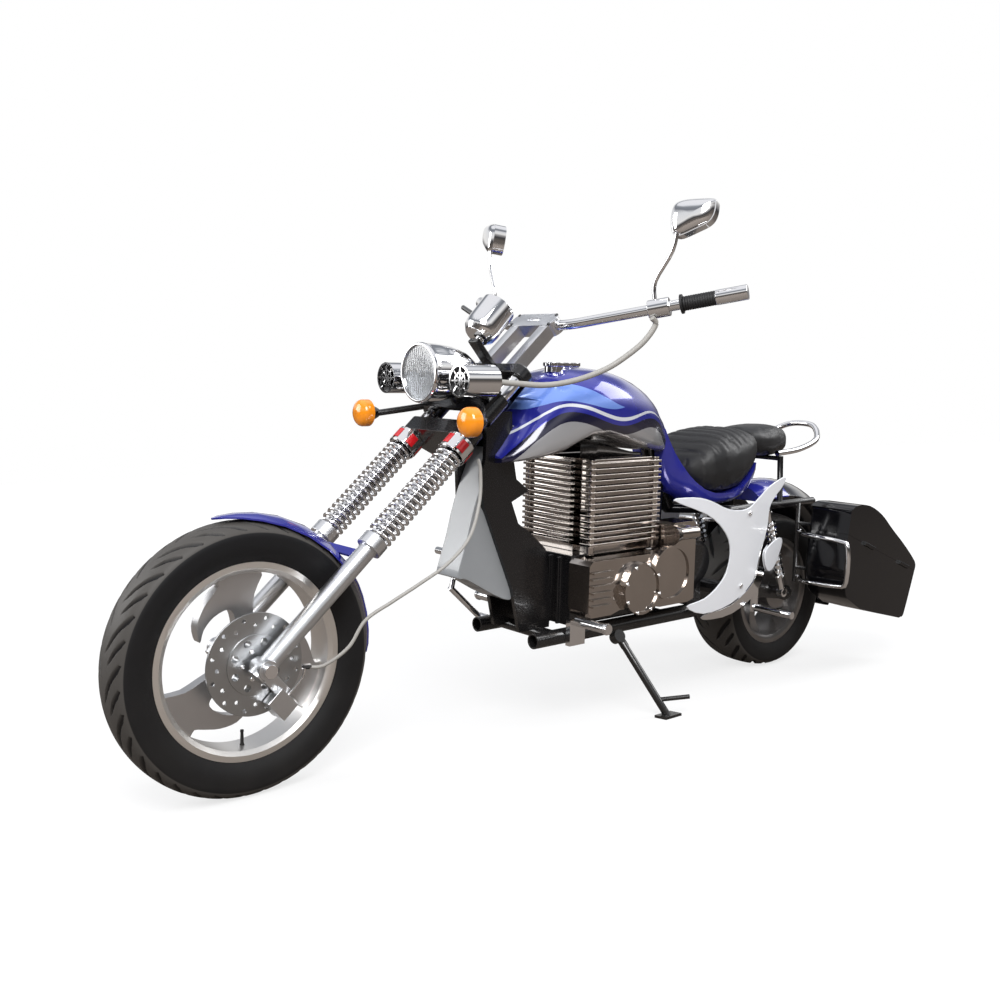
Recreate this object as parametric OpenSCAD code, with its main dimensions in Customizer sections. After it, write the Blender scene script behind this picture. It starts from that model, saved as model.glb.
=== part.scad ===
// Chopper motorcycle leaning on its side stand
// Millimetres: X forward, Y to its left, Z up; built upright on the rear axle's line, then leaned

/* [Layout] */
// Distance between the two axles
wheelbase = 1820; // [1600:5:2000]
// Fork angle from the vertical, degrees
rake_deg = 48.5; // [42:0.5:54]
// Lean towards the side stand, degrees
lean_deg = 5.6; // [4:0.1:8]

/* [Front wheel] */
// Tyre outside radius
front_tyre_r = 302; // [280:1:310]
// Tyre width
front_tyre_w = 110; // [90:1:130]
// Rim flange radius
front_rim_r = 217; // [200:1:230]
// Rim width over the flanges
front_rim_w = 84; // [70:1:100]
// Hub radius
front_hub_r = 36; // [30:1:45]
// Hub width
front_hub_w = 90; // [80:1:100]
// Axle radius
front_axle_r = 8; // [6:0.5:10]
// Brake disc radius
disc_r = 112; // [90:1:130]
// Brake disc thickness
disc_t = 5; // [3:0.5:7]

/* [Rear wheel] */
// Tyre outside radius
rear_tyre_r = 245; // [230:1:260]
// Tyre width
rear_tyre_w = 166; // [130:1:180]
// Rim flange radius
rear_rim_r = 170; // [150:1:180]
// Rim width over the flanges
rear_rim_w = 136; // [110:1:150]
// Hub radius
rear_hub_r = 55; // [40:1:70]
// Hub width
rear_hub_w = 160; // [140:1:170]
// Axle radius
rear_axle_r = 9; // [7:0.5:12]

/* [Fork] */
// Half spacing of the fork legs
leg_y = 100; // [90:1:115]
// Lower leg radius
leg_r = 21; // [18:0.5:25]
// Length of the lower leg above the axle
leg_h = 345; // [320:1:380]
// Collar radius at the top of the lower leg
collar_r = 31; // [27:0.5:36]
// Collar height
collar_h = 30; // [20:1:40]
// Inner tube radius
tube_r = 18; // [15:0.5:20]
// Coil spring mean radius
spring_r = 29; // [25:0.5:32]
// Spring wire radius
spring_wire_r = 4; // [3:0.25:5]
// Number of spring turns
spring_turns = 19; // [12:1:24]
// Free length between the collar and the lower clamp
spring_h = 317; // [280:1:340]
// Lower clamp height
lower_clamp_h = 43; // [35:1:55]
// Head tube length
head_h = 176; // [150:1:200]
// Upper clamp height
upper_clamp_h = 30; // [24:1:40]
// Stem distance behind the fork tubes
stem_offset = 60; // [45:1:75]
// Stem radius
stem_r = 15; // [12:0.5:18]

/* [Bars] */
// Riser height above the upper clamp
riser_h = 178; // [140:1:220]
// Half spacing of the risers
riser_y = 55; // [45:1:70]
// Handlebar radius
bar_r = 12.7; // [11:0.1:16]
// Half length of the straight middle of the bar
bar_mid_y = 115; // [105:1:140]
// Length of each swept end
bar_end_len = 439; // [380:1:480]
// Backward sweep of the ends, degrees
bar_sweep_deg = 30; // [15:1:40]
// Upward rise of the ends, degrees
bar_rise_deg = 10.5; // [0:0.5:20]

/* [Lamps] */
// Headlamp radius
lamp_r = 70; // [55:1:80]
// Headlamp shell length
lamp_len = 165; // [130:1:190]
// Speaker radius
speaker_r = 38; // [30:1:42]
// Speaker length
speaker_len = 96; // [70:1:110]
// Half spacing of the speakers
speaker_y = 146; // [130:1:170]
// Turn signal radius
signal_r = 34; // [24:1:40]
// Half spacing of the turn signals
signal_y = 213; // [180:1:240]
// Gauge radius
gauge_r = 45; // [38:1:52]

/* [Tank and seat] */
// Tank length
tank_len = 617; // [560:1:640]
// Tank half width
tank_half_w = 160; // [130:1:175]
// Tank height
tank_h = 241; // [210:1:260]
// Seat half width
seat_half_w = 142; // [120:1:160]
// Pillion pad half width
pillion_half_w = 98; // [80:1:110]

/* [Power unit] */
// Cylinder block length
block_len = 266; // [230:1:290]
// Cylinder block width
block_w = 268; // [240:1:290]
// Cylinder block height
block_h = 248; // [220:1:280]
// Number of cooling fins
fin_count = 15; // [8:1:18]
// Crankcase cover depth at each side
case_w = 75; // [60:1:85]

/* [Panels and bags] */
// Side panel height
panel_h = 372; // [330:1:400]
// Side panel length
panel_len = 510; // [450:1:540]
// Sheet thickness of the side panel
panel_t = 5; // [3:0.5:8]
// Saddlebag width
bag_w = 140; // [110:1:170]
// Saddlebag length
bag_len = 395; // [340:1:430]
// Saddlebag height
bag_h = 378; // [330:1:400]
// Saddlebag wall
bag_wall = 5; // [3:0.5:8]

/* [Hidden] */
$fn = 48;

// Place of the whole on its plate
origin_x = 866.33;
origin_y = 109.28;
origin_z = 0;
// Seat clearance between pieces, running clearance at pins, overrun of cuts
seat_gap = 0.4;
run_gap = 0.08;
cut = 2;

// Frame places
neck_r = 32;
backbone_r = 24;
spine_top_x = 560;
spine_top_z = 748;
spine_low_x = 452;
spine_low_z = 540;
spine_r = 22;
seat_rail_r = 12;
seat_rail_z = 532.6;
seat_rail_y = 118;
seat_rail_x = 300;
seat_rail_end_x = -110;
plate_y = 50;
plate_t = 12;
plate_x = 960;
plate_z = 262;
plate_w = 240;
plate_h = 566;
plate_shares = [
  [0.94, 1], [0.96, 0.9], [0.965, 0.8], [1, 0.74], [0.98, 0.6], [0.76, 0.39], [0.56, 0.2],
  [0.45, 0], [0.02, 0], [0, 0.12], [0.1, 0.37], [0.32, 0.45], [0.5, 0.5], [0.6, 0.6],
  [0.36, 0.645], [0.54, 0.7], [0.6, 0.82], [0.62, 1]
];
plate_slot_share = 0.577;
cradle_y = 112;
cradle_z = 250;
cradle_r = 20;
cradle_front_x = 1072;
cradle_rear_x = 300;
cradle_cross_xs = [0.06, 0.94];
cradle_wall = 4;
cradle_end_len = 40;
pivot_x = 335;
pivot_z = 300;
pivot_plate_t = 9;
pivot_plate_len = 96;
pivot_plate_h = 72;
pivot_bolt_r = 10;
post_r = 14;
post_x = 575;
post_y = 60;
post_top_share = 0.47;
hanger_x = -20;
hanger_y = 128;
hanger_r = 7;
hanger_low_z = 285;
hanger_zs = [330, 470];
shock_y = 141;
shock_low_x = 62;
shock_low_z = 262;
shock_top_x = 160;
shock_pin_r = 8;
stand_lug_len = 46;
stand_lug_t = 12;

// Chin panel
chin_half_w = 43.6;
chin_x = 1080;
chin_z = 352;
chin_len = 182;
chin_h = 380;
chin_shares = [
  [0.36, 1], [0.44, 0.98], [0.72, 0.66], [0.86, 0.42], [1, 0.21], [0.96, 0.175], [0.82, 0.16],
  [0.19, 0], [0.02, 0.04], [0.3, 0.4], [0.6, 0.62], [0.62, 0.68], [0.48, 0.86]
];

// Tank: place, then rings of length, half width, lower edge and top as shares
tank_x = 545;
tank_z = 700;
tank_waist_share = 0.3;
tank_ring_n = 28;
tank_shares = [
  [0, 0.42, 0.03, 0.46], [0.045, 0.5, 0.04, 0.565], [0.089, 0.6, 0.05, 0.67],
  [0.16, 0.71, 0.07, 0.785], [0.235, 0.8, 0.09, 0.87], [0.31, 0.88, 0.14, 0.93],
  [0.381, 0.94, 0.19, 0.97], [0.511, 1, 0.26, 1], [0.6, 0.985, 0.24, 0.985],
  [0.655, 0.95, 0.18, 0.962], [0.697, 0.905, 0.12, 0.93], [0.737, 0.9, 0.08, 0.86],
  [0.802, 0.895, 0.06, 0.73], [0.85, 0.86, 0.04, 0.585], [0.883, 0.81, 0.03, 0.47],
  [0.93, 0.73, 0.02, 0.31], [0.964, 0.64, 0.015, 0.2], [1, 0.52, 0.01, 0.1]
];
tunnel_gap = 5;
cap_r = 24;
cap_h = 16;
cap_lip = 4;
cap_sink = 6;
cap_place_shares = [[0.65, 0.35], [0.56, 0], [0.47, -0.35]];

// Seat and pan: rings of length, half width, seam height, seat top, pan half width, pan bottom
seat_x = 185;
seat_len = 275;
seat_z = 545;
seat_h = 223;
seat_ring_n = 14;
seat_seam_gap = 0.5;
seat_shares = [
  [0, 0.86, 0.55, 0.985, 0.8, 0.31], [0.09, 0.92, 0.45, 1, 0.88, 0.235],
  [0.2, 0.965, 0.34, 1, 0.93, 0.13], [0.34, 1, 0.245, 0.99, 0.965, 0.05],
  [0.48, 1, 0.205, 0.97, 0.97, 0.01], [0.62, 1, 0.19, 0.94, 0.96, 0],
  [0.76, 0.92, 0.2, 0.86, 0.92, 0.005], [0.87, 0.78, 0.25, 0.75, 0.83, 0.03],
  [0.95, 0.56, 0.34, 0.63, 0.72, 0.06], [1, 0.36, 0.43, 0.54, 0.62, 0.09]
];
spine_shares = [
  [1.01, 0.6, 0.47, 0.1, 0.02], [1.07, 0.53, 0.62, 0.14, 0.06], [1.15, 0.47, 0.8, 0.19, 0.09],
  [1.23, 0.45, 0.98, 0.32, 0.11], [1.3075, 0.455, 1.14, 0.56, 0.12]
];
pillion_gap = 6;
pillion_shares = [
  [0, 0.7, 0.3, 0.86], [0.12, 0.84, 0.12, 1], [0.35, 0.95, 0.011, 1.05], [0.6, 1, 0.011, 1.0],
  [0.82, 0.98, 0.1, 0.96], [0.95, 0.9, 0.26, 0.9], [1, 0.72, 0.42, 0.8]
];
pillion_x = -32;
pillion_len = 208;
pillion_z = 680.4;
pillion_h = 90;
pad_post_r = 9;
pad_post_x = 64;
pad_post_z = 673.4;
grab_r = 9;
grab_y = 112;
grab_back_x = -190;
grab_low_z = 690;
grab_rise = 72;

// Power unit
block_x = 634;
block_z = 455;
fin_t = 7;
fin_depth = 16;
fin_start_z = 22;
corner_post_r = 13;
block_slot_w = 40;
block_slot_depth = 30;
base_x = 606;
base_len = 340;
base_half_w = 104;
base_z = 268.8;
base_rib_t = 8;
base_rib_count = 5;
base_rib_depth = 9;
case_x = 532;
case_len = 412;
case_z = 300;
case_h = 150;
tower_len = 98;
tower_h = 226;
case_shares = [
  [0, 0.05], [0.06, 0], [0.34, 0], [0.45, 0.06], [0.72, 0.08], [0.8, 0.02], [0.97, 0.02],
  [1, 0.12], [1, 0.92], [0.97, 1], [0, 1]
];
cover_shares = [[0.565, 0.43, 0.46, 0.24], [0.27, 0.62, 0.5, 0.16]];
cover_rim = 7;
cover_step = 5;
small_fin_count = 6;
small_fin_t = 5;
small_fin_h = 9;
small_fin_shares = [0.81, 0.98, 0.2, 0.78];
intake_r = 19;
intake_len = 74;
intake_horn_r = 27;
intake_horn_len = 24;
motor_x = 458;
motor_z = 392;
motor_r = 64;
motor_half_w = 128;
motor_fin_count = 11;
motor_fin_t = 6;
motor_core_share = 0.84;
motor_foot_len = 60;
motor_foot_half_w = 118;

// Side panels and trims
panel_y = 172;
panel_x = 103;
panel_z = 253;
panel_bow_r = 2500;
panel_shares = [
  [1, 0.893], [0.84, 0.903], [0.71, 0.868], [0.555, 0.79], [0.39, 0.775], [0.285, 0.845],
  [0.165, 0.94], [0, 1], [0.035, 0.915], [0.1, 0.855], [0.16, 0.765], [0.175, 0.62],
  [0.205, 0.5], [0.245, 0.39], [0.3, 0.185], [0.5, 0.04], [0.735, 0], [0.87, 0.08],
  [0.725, 0.12], [0.605, 0.215], [0.54, 0.335], [0.53, 0.5], [0.6, 0.64], [0.74, 0.765]
];
trim_shares = [
  [0.155, 0.52], [0.19, 0.5], [0.225, 0.385], [0.28, 0.175], [0.49, 0.025], [0.72, -0.012],
  [0.7, -0.055], [0.47, -0.045], [0.23, 0.1], [0.155, 0.33]
];
crescent_shares = [[0.178, 0.42], [0.06, 0.5], [0, 0.47], [0.06, 0.3], [0.13, 0.24], [0.174, 0.3]];
panel_stay_r = 8;
panel_stay_shares = [[0.367, 0.74], [0.42, 0.17]];

// Rear end
rear_fender_gap = 104;
rear_fender_t = 4;
rear_fender_half_w = 106.2;
rear_fender_drop = 46;
rear_fender_front_deg = 72;
rear_fender_back_deg = 196;
fender_ring_n = 10;
tail_lamp_r = 30;
tail_lamp_len = 34;
tail_lamp_deg = 166;
arm_y = 106;
arm_w = 16;
arm_h = 40;
axle_boss_r = 24;
nut_r = 15;
nut_h = 12;
shock_r = 10.5;
shock_coil_r = 18;
shock_coil_t = 6;
shock_coil_count = 11;
shock_eye_r = 15;
shock_eye_w = 20;
bag_y = 190;
bag_back_x = -390;
bag_z = 168;
bag_shares = [
  [1, 0.27], [1, 0.9], [0.975, 0.97], [0.9, 1], [0.74, 0.985], [0.56, 0.9], [0.39, 0.765],
  [0.2, 0.62], [0.05, 0.49], [0.005, 0.43], [0.02, 0.36], [0.14, 0.02], [0.18, 0], [0.3, 0.02]
];
bag_seam_shares = [[0, 0.37], [1, 0.77]];
bag_seam_gap = 0.7;
bag_hinge_out = 3;
bag_hinge_r = 6;
bag_pin_r = 2.5;
bag_knuckle_len = 30;
bag_knuckle_shares = [0.22, 0.78];
rail_r = 7;
rail_shares = [
  [0, 0, 1], [0, 0.03, 1], [0, 0.06, 1], [0.7, 0.18, 1], [1, 0.32, 1], [1, 0.86, 0.97], [1, 1, 0.85], [1, 1, 0.15],
  [1, 0.86, 0.03], [1, 0.32, 0], [0.7, 0.18, 0], [0, 0.06, 0],
  [0, 0.03, 0], [0, 0, 0]
];
rail_len = 50;
rail_top_z = 445;
rail_low_z = 300;
rail_out_y = 342;
peg_x = 950;
peg_z = 292;
peg_r = 13;
peg_len = 112;
peg_plate_len = 54;
peg_plate_h = 66;
peg_plate_t = 16;
pillion_peg_x = 168;
pillion_peg_z = 222;
pillion_peg_len = 140;
pillion_peg_r = 11;
pillion_peg_plate_h = 70;
pillion_peg_plate_len = 26;
pillion_peg_plate_t = 8;
pedal_pivot_x = 1020;
pedal_tip_x = 1106;
pedal_tip_z = 436;
pedal_knee_x = 1130;
pedal_knee_z = 350;
pedal_r = 8;
pedal_y = 156;
pedal_out = 90;
pedal_toe_r = 10;
pedal_boss_r = 16;

// Side stand
stand_pivot_x = 800;
stand_pivot_y = 152;
stand_pivot_z = 232;
stand_foot_x = 722;
stand_foot_y = 268;
stand_leg_r = 10;
stand_pin_r = 7;
stand_eye_r = 17;
stand_eye_w = 14;
stand_pad_len = 62;
stand_pad_w = 40;
stand_pad_h = 7;
stand_tang_len = 52;
stand_tang_r = 6;

// Wheels
bead_gap = 0.4;
flange_t = 6;
flange_h = 11;
rim_bed_t = 12;
spoke_t = 28;
rear_spoke_t = 34;
spoke_shares = [
  [0.1, 16], [0.3, 15], [0.5, 13], [0.585, 18], [0.6, 34], [0.585, 50], [0.55, 63],
  [0.665, 52], [0.745, 38], [0.805, 26], [0.86, 19], [0.955, 17], [0.955, -12], [0.7, -10],
  [0.42, -13], [0.1, -24]
];
front_spoke_count = 3;
rear_spoke_shares = [[0.2, 14], [0.6, 22], [0.95, 40], [0.95, 24], [0.6, 4], [0.2, -14]];
rear_spoke_count = 5;
disc_y = 58;
disc_hole_r = 4.5;
disc_hole_count = 24;
disc_ring_share = 0.66;
carrier_slot_count = 8;
carrier_t = 8;
carrier_slot_r = 8;
spacer_r = 13;

// Fork and steering small sizes
lug_r = 22;
lug_w = 46;
leg_tail = 26;
tube_seat = 40;
tube_over = 6;
cover_h = 42;
cover_wall = 2;
cover_gap = 1.2;
clamp_r = 30;
stem_boss_r = 33;
stem_over = 8;
spring_step_n = 10;
spring_side_n = 6;
bracket_rise = 37;
bracket_h = 70;
bracket_t = 9;
bracket_x = 22;
bracket_clamp_r = 26;
lamp_fwd = 157;
lamp_rise = 20;
lamp_lens_t = 10;
lamp_lens_inset = 5;
lamp_lip = 5;
lamp_wall = 4;
lamp_foot_r = 20;
lamp_shares = [[1, 0], [1.03, 0.04], [1, 0.09], [0.98, 0.3], [0.9, 0.55], [0.74, 0.78], [0.5, 0.94], [0.2, 1]];
speaker_fwd = 139;
speaker_rise = 17;
speaker_bar_r = 9;
grille_spoke_count = 8;
grille_spoke_w = 4;
grille_ring_share = 0.5;
grille_t = 4;
grille_depth = 14;
grille_hub_r = 9;
signal_fwd = 101;
signal_drop = 32.5;
signal_len = 38;
signal_stalk_r = 8;
signal_base_r = 24;
signal_base_len = 26;
gauge_fwd = 108;
gauge_rise = 5;
gauge_len = 102;
gauge_tilt_deg = 5;
gauge_lip = 5;
gauge_arm_w = 34;
gauge_arm_t = 14;
riser_w = 34;
riser_t = 30;
riser_clamp_h = 46;
riser_clamp_half_w = 82;
riser_slot_h = 10;
riser_slot_len = 44;
bar_side_n = 16;
housing_r = 23;
housing_at = 205;
housing_len = 52;
grip_r = 17;
grip_at = 284;
grip_len = 84;
grip_flange_r = 24;
grip_flange_len = 6;
end_r = 18;
lever_r = 7;
lever_len = 150;
lever_out = 62;
lever_perch_r = 21;
lever_perch_len = 24;
lever_at = 176;
mirror_stem_r = 5;
mirror_at = 214;
mirror_rise = 150;
mirror_out = 48;
mirror_back = 20;
mirror_len = 104;
mirror_h = 82;
mirror_t = 34;
mirror_glass_t = 3;
mirror_rim = 6;
mirror_tilt_deg = 8;
mirror_toe_deg = 25;
mirror_shares = [
  [-0.1, 0], [0.06, -0.02], [0.4, 0.16], [0.68, 0.34], [0.8, 0.56], [0.83, 0.86], [0.78, 1.01], [0.42, 1.03],
  [0.05, 1], [-0.15, 0.86], [-0.2, 0.5], [-0.17, 0.16]
];
caliper_back = 101;
caliper_up = -22;
caliper_len = 58;
caliper_h = 46;
caliper_t = 16;
caliper_gap = 2;
hose_r = 4;
loom_r = 7;
hose_side_n = 8;
hose_points = [
  [1716, 92, 288], [1680, 108, 288], [1632, 132, 326], [1595, 142, 383], [1535, 158, 420],
  [1469, 170, 455], [1390, 168, 492], [1320, 158, 545], [1276, 138, 622], [1258, 118, 690],
  [1252, 102, 718]
];
loom_points = [
  [893, 312, 1062], [880, 312, 1046], [905, 296, 1003], [950, 264, 958], [992, 240, 931],
  [1052, 210, 908], [1115, 180, 897], [1185, 152, 900], [1251, 142, 904]
];
front_fender_gap = 12;
front_fender_t = 4;
front_fender_half_w = 56;
front_fender_drop = 22;
front_fender_shares = [
  [-12, 0.04], [-8, 0.3], [-2, 0.52], [6, 0.72], [16, 0.86], [28, 0.96], [40, 1], [52, 1], [58, 0.9],
  [64, 0.62], [70, 0.5], [78, 0.45], [86, 0.4], [92, 0.34], [96, 0.2]
];
fender_brace_h = 20;
fender_brace_t = 8;

// Derived places
leg_top = leg_h + collar_h;
lower_clamp_z = leg_top + spring_h;
head_z = lower_clamp_z + lower_clamp_h;
upper_clamp_z = head_z + head_h;
tube_top = upper_clamp_z + upper_clamp_h;
bar_z = tube_top + riser_h;
tube_bottom = leg_top - tube_seat;
gauge_up = tube_top + gauge_rise;
bracket_z = head_z + bracket_rise;
signal_up = lower_clamp_z - signal_drop;
speaker_up = head_z + speaker_rise;
lamp_up = head_z + lamp_rise;
block_half_w = block_w / 2;
front_axle_z = tyre_reach(front_tyre_r, front_tyre_w, front_rim_r + bead_gap) / cos(lean_deg);
rear_axle_z = tyre_reach(rear_tyre_r, rear_tyre_w, rear_rim_r + bead_gap) / cos(lean_deg);
stand_foot_z = stand_foot_y * tan(lean_deg);

function tyre_curve(r, w, rim_r) = [
  for (k = [0:10])
    let (a = -90 + 18 * k, m = (r + rim_r) / 2 + (r - rim_r) * 0.08)
    [m + (r - m) * power(cos(a), 0.75) - (k % 10 == 0 ? (m - rim_r) * 0.3 : 0), w / 2 * power(sin(a), 0.85)]
];
function tyre_reach(r, w, rim_r) = max([for (q = tyre_curve(r, w, rim_r)) q[0] * cos(lean_deg) + q[1] * sin(lean_deg)]);
function fork_pt(x, y, z) = [
  wheelbase + x * cos(rake_deg) - z * sin(rake_deg), y,
  front_axle_z + x * sin(rake_deg) + z * cos(rake_deg)
];
function bar_dir() = [
  -sin(bar_sweep_deg) * cos(bar_rise_deg), cos(bar_sweep_deg) * cos(bar_rise_deg), sin(bar_rise_deg)
];
function bar_pt(t) = fork_pt(0, bar_mid_y, bar_z) + t * bar_dir();
function unit(v) = v / norm(v);
function bow_y(x) = panel_y + panel_t - panel_bow_r
  + sqrt(pow(panel_bow_r - panel_t, 2) - pow(abs(x - panel_len / 2) + panel_stay_r, 2));
function flip_y(p) = [p[0], -p[1], p[2]];
function power(v, e) = sign(v) * pow(abs(v), e);
function bez(a, b, c, t) = a * (1 - t) * (1 - t) + b * 2 * t * (1 - t) + c * t * t;
function spline(p, i, t) =
  let (a = p[max(i - 1, 0)], b = p[i], c = p[i + 1], d = p[min(i + 2, len(p) - 1)])
  0.5 * (2 * b + (c - a) * t + (2 * a - 5 * b + 4 * c - d) * t * t + (3 * b - a - 3 * c + d) * t * t * t);
function smooth_path(p, n) = [for (i = [0:len(p) - 2]) for (k = [0:n - 1]) spline(p, i, k / n), p[len(p) - 1]];
function loop_spline(p, i, t) =
  let (m = len(p), a = p[(i + m - 1) % m], b = p[i], c = p[(i + 1) % m], d = p[(i + 2) % m])
  0.5 * (2 * b + (c - a) * t + (2 * a - 5 * b + 4 * c - d) * t * t + (3 * b - a - 3 * c + d) * t * t * t);
function smooth_loop(p, n) = [for (i = [0:len(p) - 1]) for (k = [0:n - 1]) loop_spline(p, i, k / n)];
function fit(shares, x, z, w, h) = [for (s = shares) [x + s[0] * w, z + s[1] * h]];
function ring_at(c, t, ref, r, n) =
  let (u = unit(cross(t, ref)), v = cross(u, t))
  [for (k = [0:n - 1]) c + r * cos(360 * k / n) * u + r * sin(360 * k / n) * v];
function sweep_rings(p, r, n, ref) = [
  for (i = [0:len(p) - 1])
    ring_at(p[i], unit(p[min(i + 1, len(p) - 1)] - p[max(i - 1, 0)]), ref, r, n)
];
function dome_ring(x, w, b, m, t, n) = [
  for (k = [0:n - 1])
    let (c = cos(360 * k / n), s = -sin(360 * k / n))
    [x, w * power(c, s < 0 ? 0.45 : 0.8), s < 0 ? m + (m - b) * power(s, 0.5) : m + (t - m) * power(s, 0.8)]
];
function pad_ring(x, w, b, t, n) =
  let (m = b + (t - b) * 0.35)
  concat([[x, w * 0.93, b], [x, -w * 0.93, b]],
    [for (k = [0:n]) let (a = 180 - 180 * k / n) [x, w * power(cos(a), 0.55), m + (t - m) * power(sin(a), 0.6)]]);
function band_ring(x, w, b, t, crown, n) = concat(
  [for (k = [1:n - 1]) let (a = 180 * k / n) [x, w * power(cos(a), 0.6), t - crown - (t - crown - b) * power(sin(a), 0.6)]],
  [for (k = [0:n]) let (y = 2 * k / n - 1) [x, w * y, t - crown * y * y]]);
function blade_ring(a, r, w, drop, t, n) =
  let (o = [for (k = [0:n]) let (y = 1 - 2 * k / n) [r - drop * pow(abs(y), 2.2), w * y]])
  concat([for (q = o) [(q[0] + t) * cos(a), q[1], (q[0] + t) * sin(a)]],
    [for (k = [n:-1:0]) [o[k][0] * cos(a), o[k][1], o[k][0] * sin(a)]]);

module placed() {
  translate([-origin_x, -origin_y, origin_z]) rotate([-lean_deg, 0, 0]) children();
}
module fork_space() {
  translate([wheelbase, 0, front_axle_z]) rotate([0, -rake_deg, 0]) children();
}
module level_at(x, y, z) {
  fork_space() translate([x, y, z]) rotate([0, rake_deg, 0]) children();
}
module bar_space() {
  translate(fork_pt(0, bar_mid_y, bar_z)) rotate([bar_rise_deg - 90, 0, bar_sweep_deg]) children();
}
module both_sides() {
  children();
  mirror([0, 1, 0]) children();
}
module rod(p, q, r) {
  v = q - p;
  translate(p) rotate([0, acos(v[2] / norm(v)), atan2(v[1], v[0])]) cylinder(r = r, h = norm(v));
}
module across(x, y, z, r, w) {
  translate([x, y, z]) rotate([-90, 0, 0]) cylinder(r = r, h = w);
}
module upright_plate(points, y, t) {
  translate([0, y + t, 0]) rotate([90, 0, 0]) linear_extrude(height = t) polygon(points);
}
module skin(rings) {
  n = len(rings[0]);
  m = len(rings);
  sides = [
    for (i = [0:m - 2]) for (k = [0:n - 1])
      let (a = i * n + k, b = i * n + (k + 1) % n)
      each [[a, b, b + n], [a, b + n, a + n]]
  ];
  ends = [[for (k = [n - 1:-1:0]) k], [for (k = [0:n - 1]) (m - 1) * n + k]];
  polyhedron([for (r = rings) each r], concat(ends, sides), convexity = 8);
}
module sweep(path, r, n, ref) {
  skin(sweep_rings(path, r, n, ref));
}
module wheel_turn() {
  rotate([90, 0, 0]) rotate_extrude($fn = 96) children();
}

module backbone_line(grow) {
  rod(fork_pt(-stem_offset, 0, head_z + head_h / 2), [spine_top_x, 0, spine_top_z], backbone_r + grow);
}
module spine_line(grow) {
  rod([spine_top_x, 0, spine_top_z], [spine_low_x, 0, spine_low_z], spine_r + grow);
}
module seat_rail_lines(grow) {
  both_sides() {
    rod([spine_low_x, 0, seat_rail_z], [seat_rail_x, seat_rail_y, seat_rail_z], seat_rail_r + grow);
    rod([seat_rail_x + seat_rail_r, seat_rail_y, seat_rail_z], [seat_rail_end_x, seat_rail_y, seat_rail_z],
      seat_rail_r + grow);
  }
}

module post_lines(grow) {
  a = [post_x, post_y, cradle_z];
  b = spine_at(post_top_share) + [0, post_r + cut, 0];
  both_sides() rod(a, b + grow * unit(b - a), post_r + grow);
}
function spine_at(u) = [
  spine_top_x + u * (spine_low_x - spine_top_x), 0, spine_top_z + u * (spine_low_z - spine_top_z)
];
module frame() {
  color("#16171a") placed() difference() {
    union() {
      fork_space() translate([-stem_offset, 0, head_z + seat_gap]) cylinder(r = neck_r, h = head_h - 2 * seat_gap);
      backbone_line(0);
      spine_line(0);
      seat_rail_lines(0);
      post_lines(0);
      across(post_x, -cradle_y, cradle_z, cradle_r - cradle_wall, 2 * cradle_y);
      across(pad_post_x, -grab_y, pad_post_z, pad_post_r - cut, 2 * grab_y);
      both_sides() {
        upright_plate(fit(plate_shares, plate_x, plate_z, plate_w, plate_h), plate_y - plate_t / 2, plate_t);
        rod([cradle_rear_x, cradle_y, cradle_z],
          [cradle_front_x - cradle_end_len - cradle_wall - seat_gap, cradle_y, cradle_z], cradle_r);
        rod([pad_post_x, seat_rail_y, seat_rail_z], [pad_post_x, grab_y, grab_low_z - grab_r - seat_gap], pad_post_r);
        translate([pivot_x - pivot_plate_len / 2, cradle_y + cradle_r - pivot_plate_t, cradle_z])
          cube([pivot_plate_len, pivot_plate_t, pivot_plate_h]);
        rod([hanger_x, hanger_y, seat_rail_z], [hanger_x, hanger_y, hanger_low_z], hanger_r);
        for (z = hanger_zs) across(hanger_x, hanger_y, z, hanger_r - cut, bag_y - hanger_y - seat_gap);
        across(shock_top_x, seat_rail_y, seat_rail_z, shock_pin_r, shock_y + shock_eye_w / 2 - seat_rail_y);
        for (s = panel_stay_shares) across(panel_x + s[0] * panel_len, seat_rail_y, panel_z + s[1] * panel_h,
          panel_stay_r, bow_y(s[0] * panel_len) - 2 * seat_gap - seat_rail_y);
      }
      across(plate_x + plate_w * cradle_cross_xs[0] + cradle_r, -cradle_y, cradle_z, cradle_r - cradle_wall, 2 * cradle_y);
      stand_space() translate([0, 0, -stand_lug_t - stand_eye_w / 2 - run_gap]) {
        cylinder(r = stand_eye_r, h = stand_lug_t);
        cylinder(r = stand_pin_r, h = stand_lug_t + stand_eye_w + run_gap);
      }
      rod([stand_pivot_x, cradle_y, cradle_z], stand_lug_pt(), stand_eye_r / 2);
    }
    fork_space() translate([-stem_offset, 0, head_z - cut]) cylinder(r = stem_r + run_gap, h = head_h + 2 * cut);
    both_sides() across(pivot_x, cradle_y, pivot_z, pivot_bolt_r + run_gap, cradle_r + cut);
  }
}
module rail_sockets() {
  color("#16171a") placed() both_sides() difference() {
    rod([cradle_front_x - cradle_end_len - cradle_wall, cradle_y, cradle_z],
      [cradle_front_x, cradle_y, cradle_z], cradle_r);
    rod([cradle_front_x - cradle_end_len, cradle_y, cradle_z],
      [cradle_front_x + cut, cradle_y, cradle_z], cradle_r - cradle_wall);
  }
}

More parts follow.
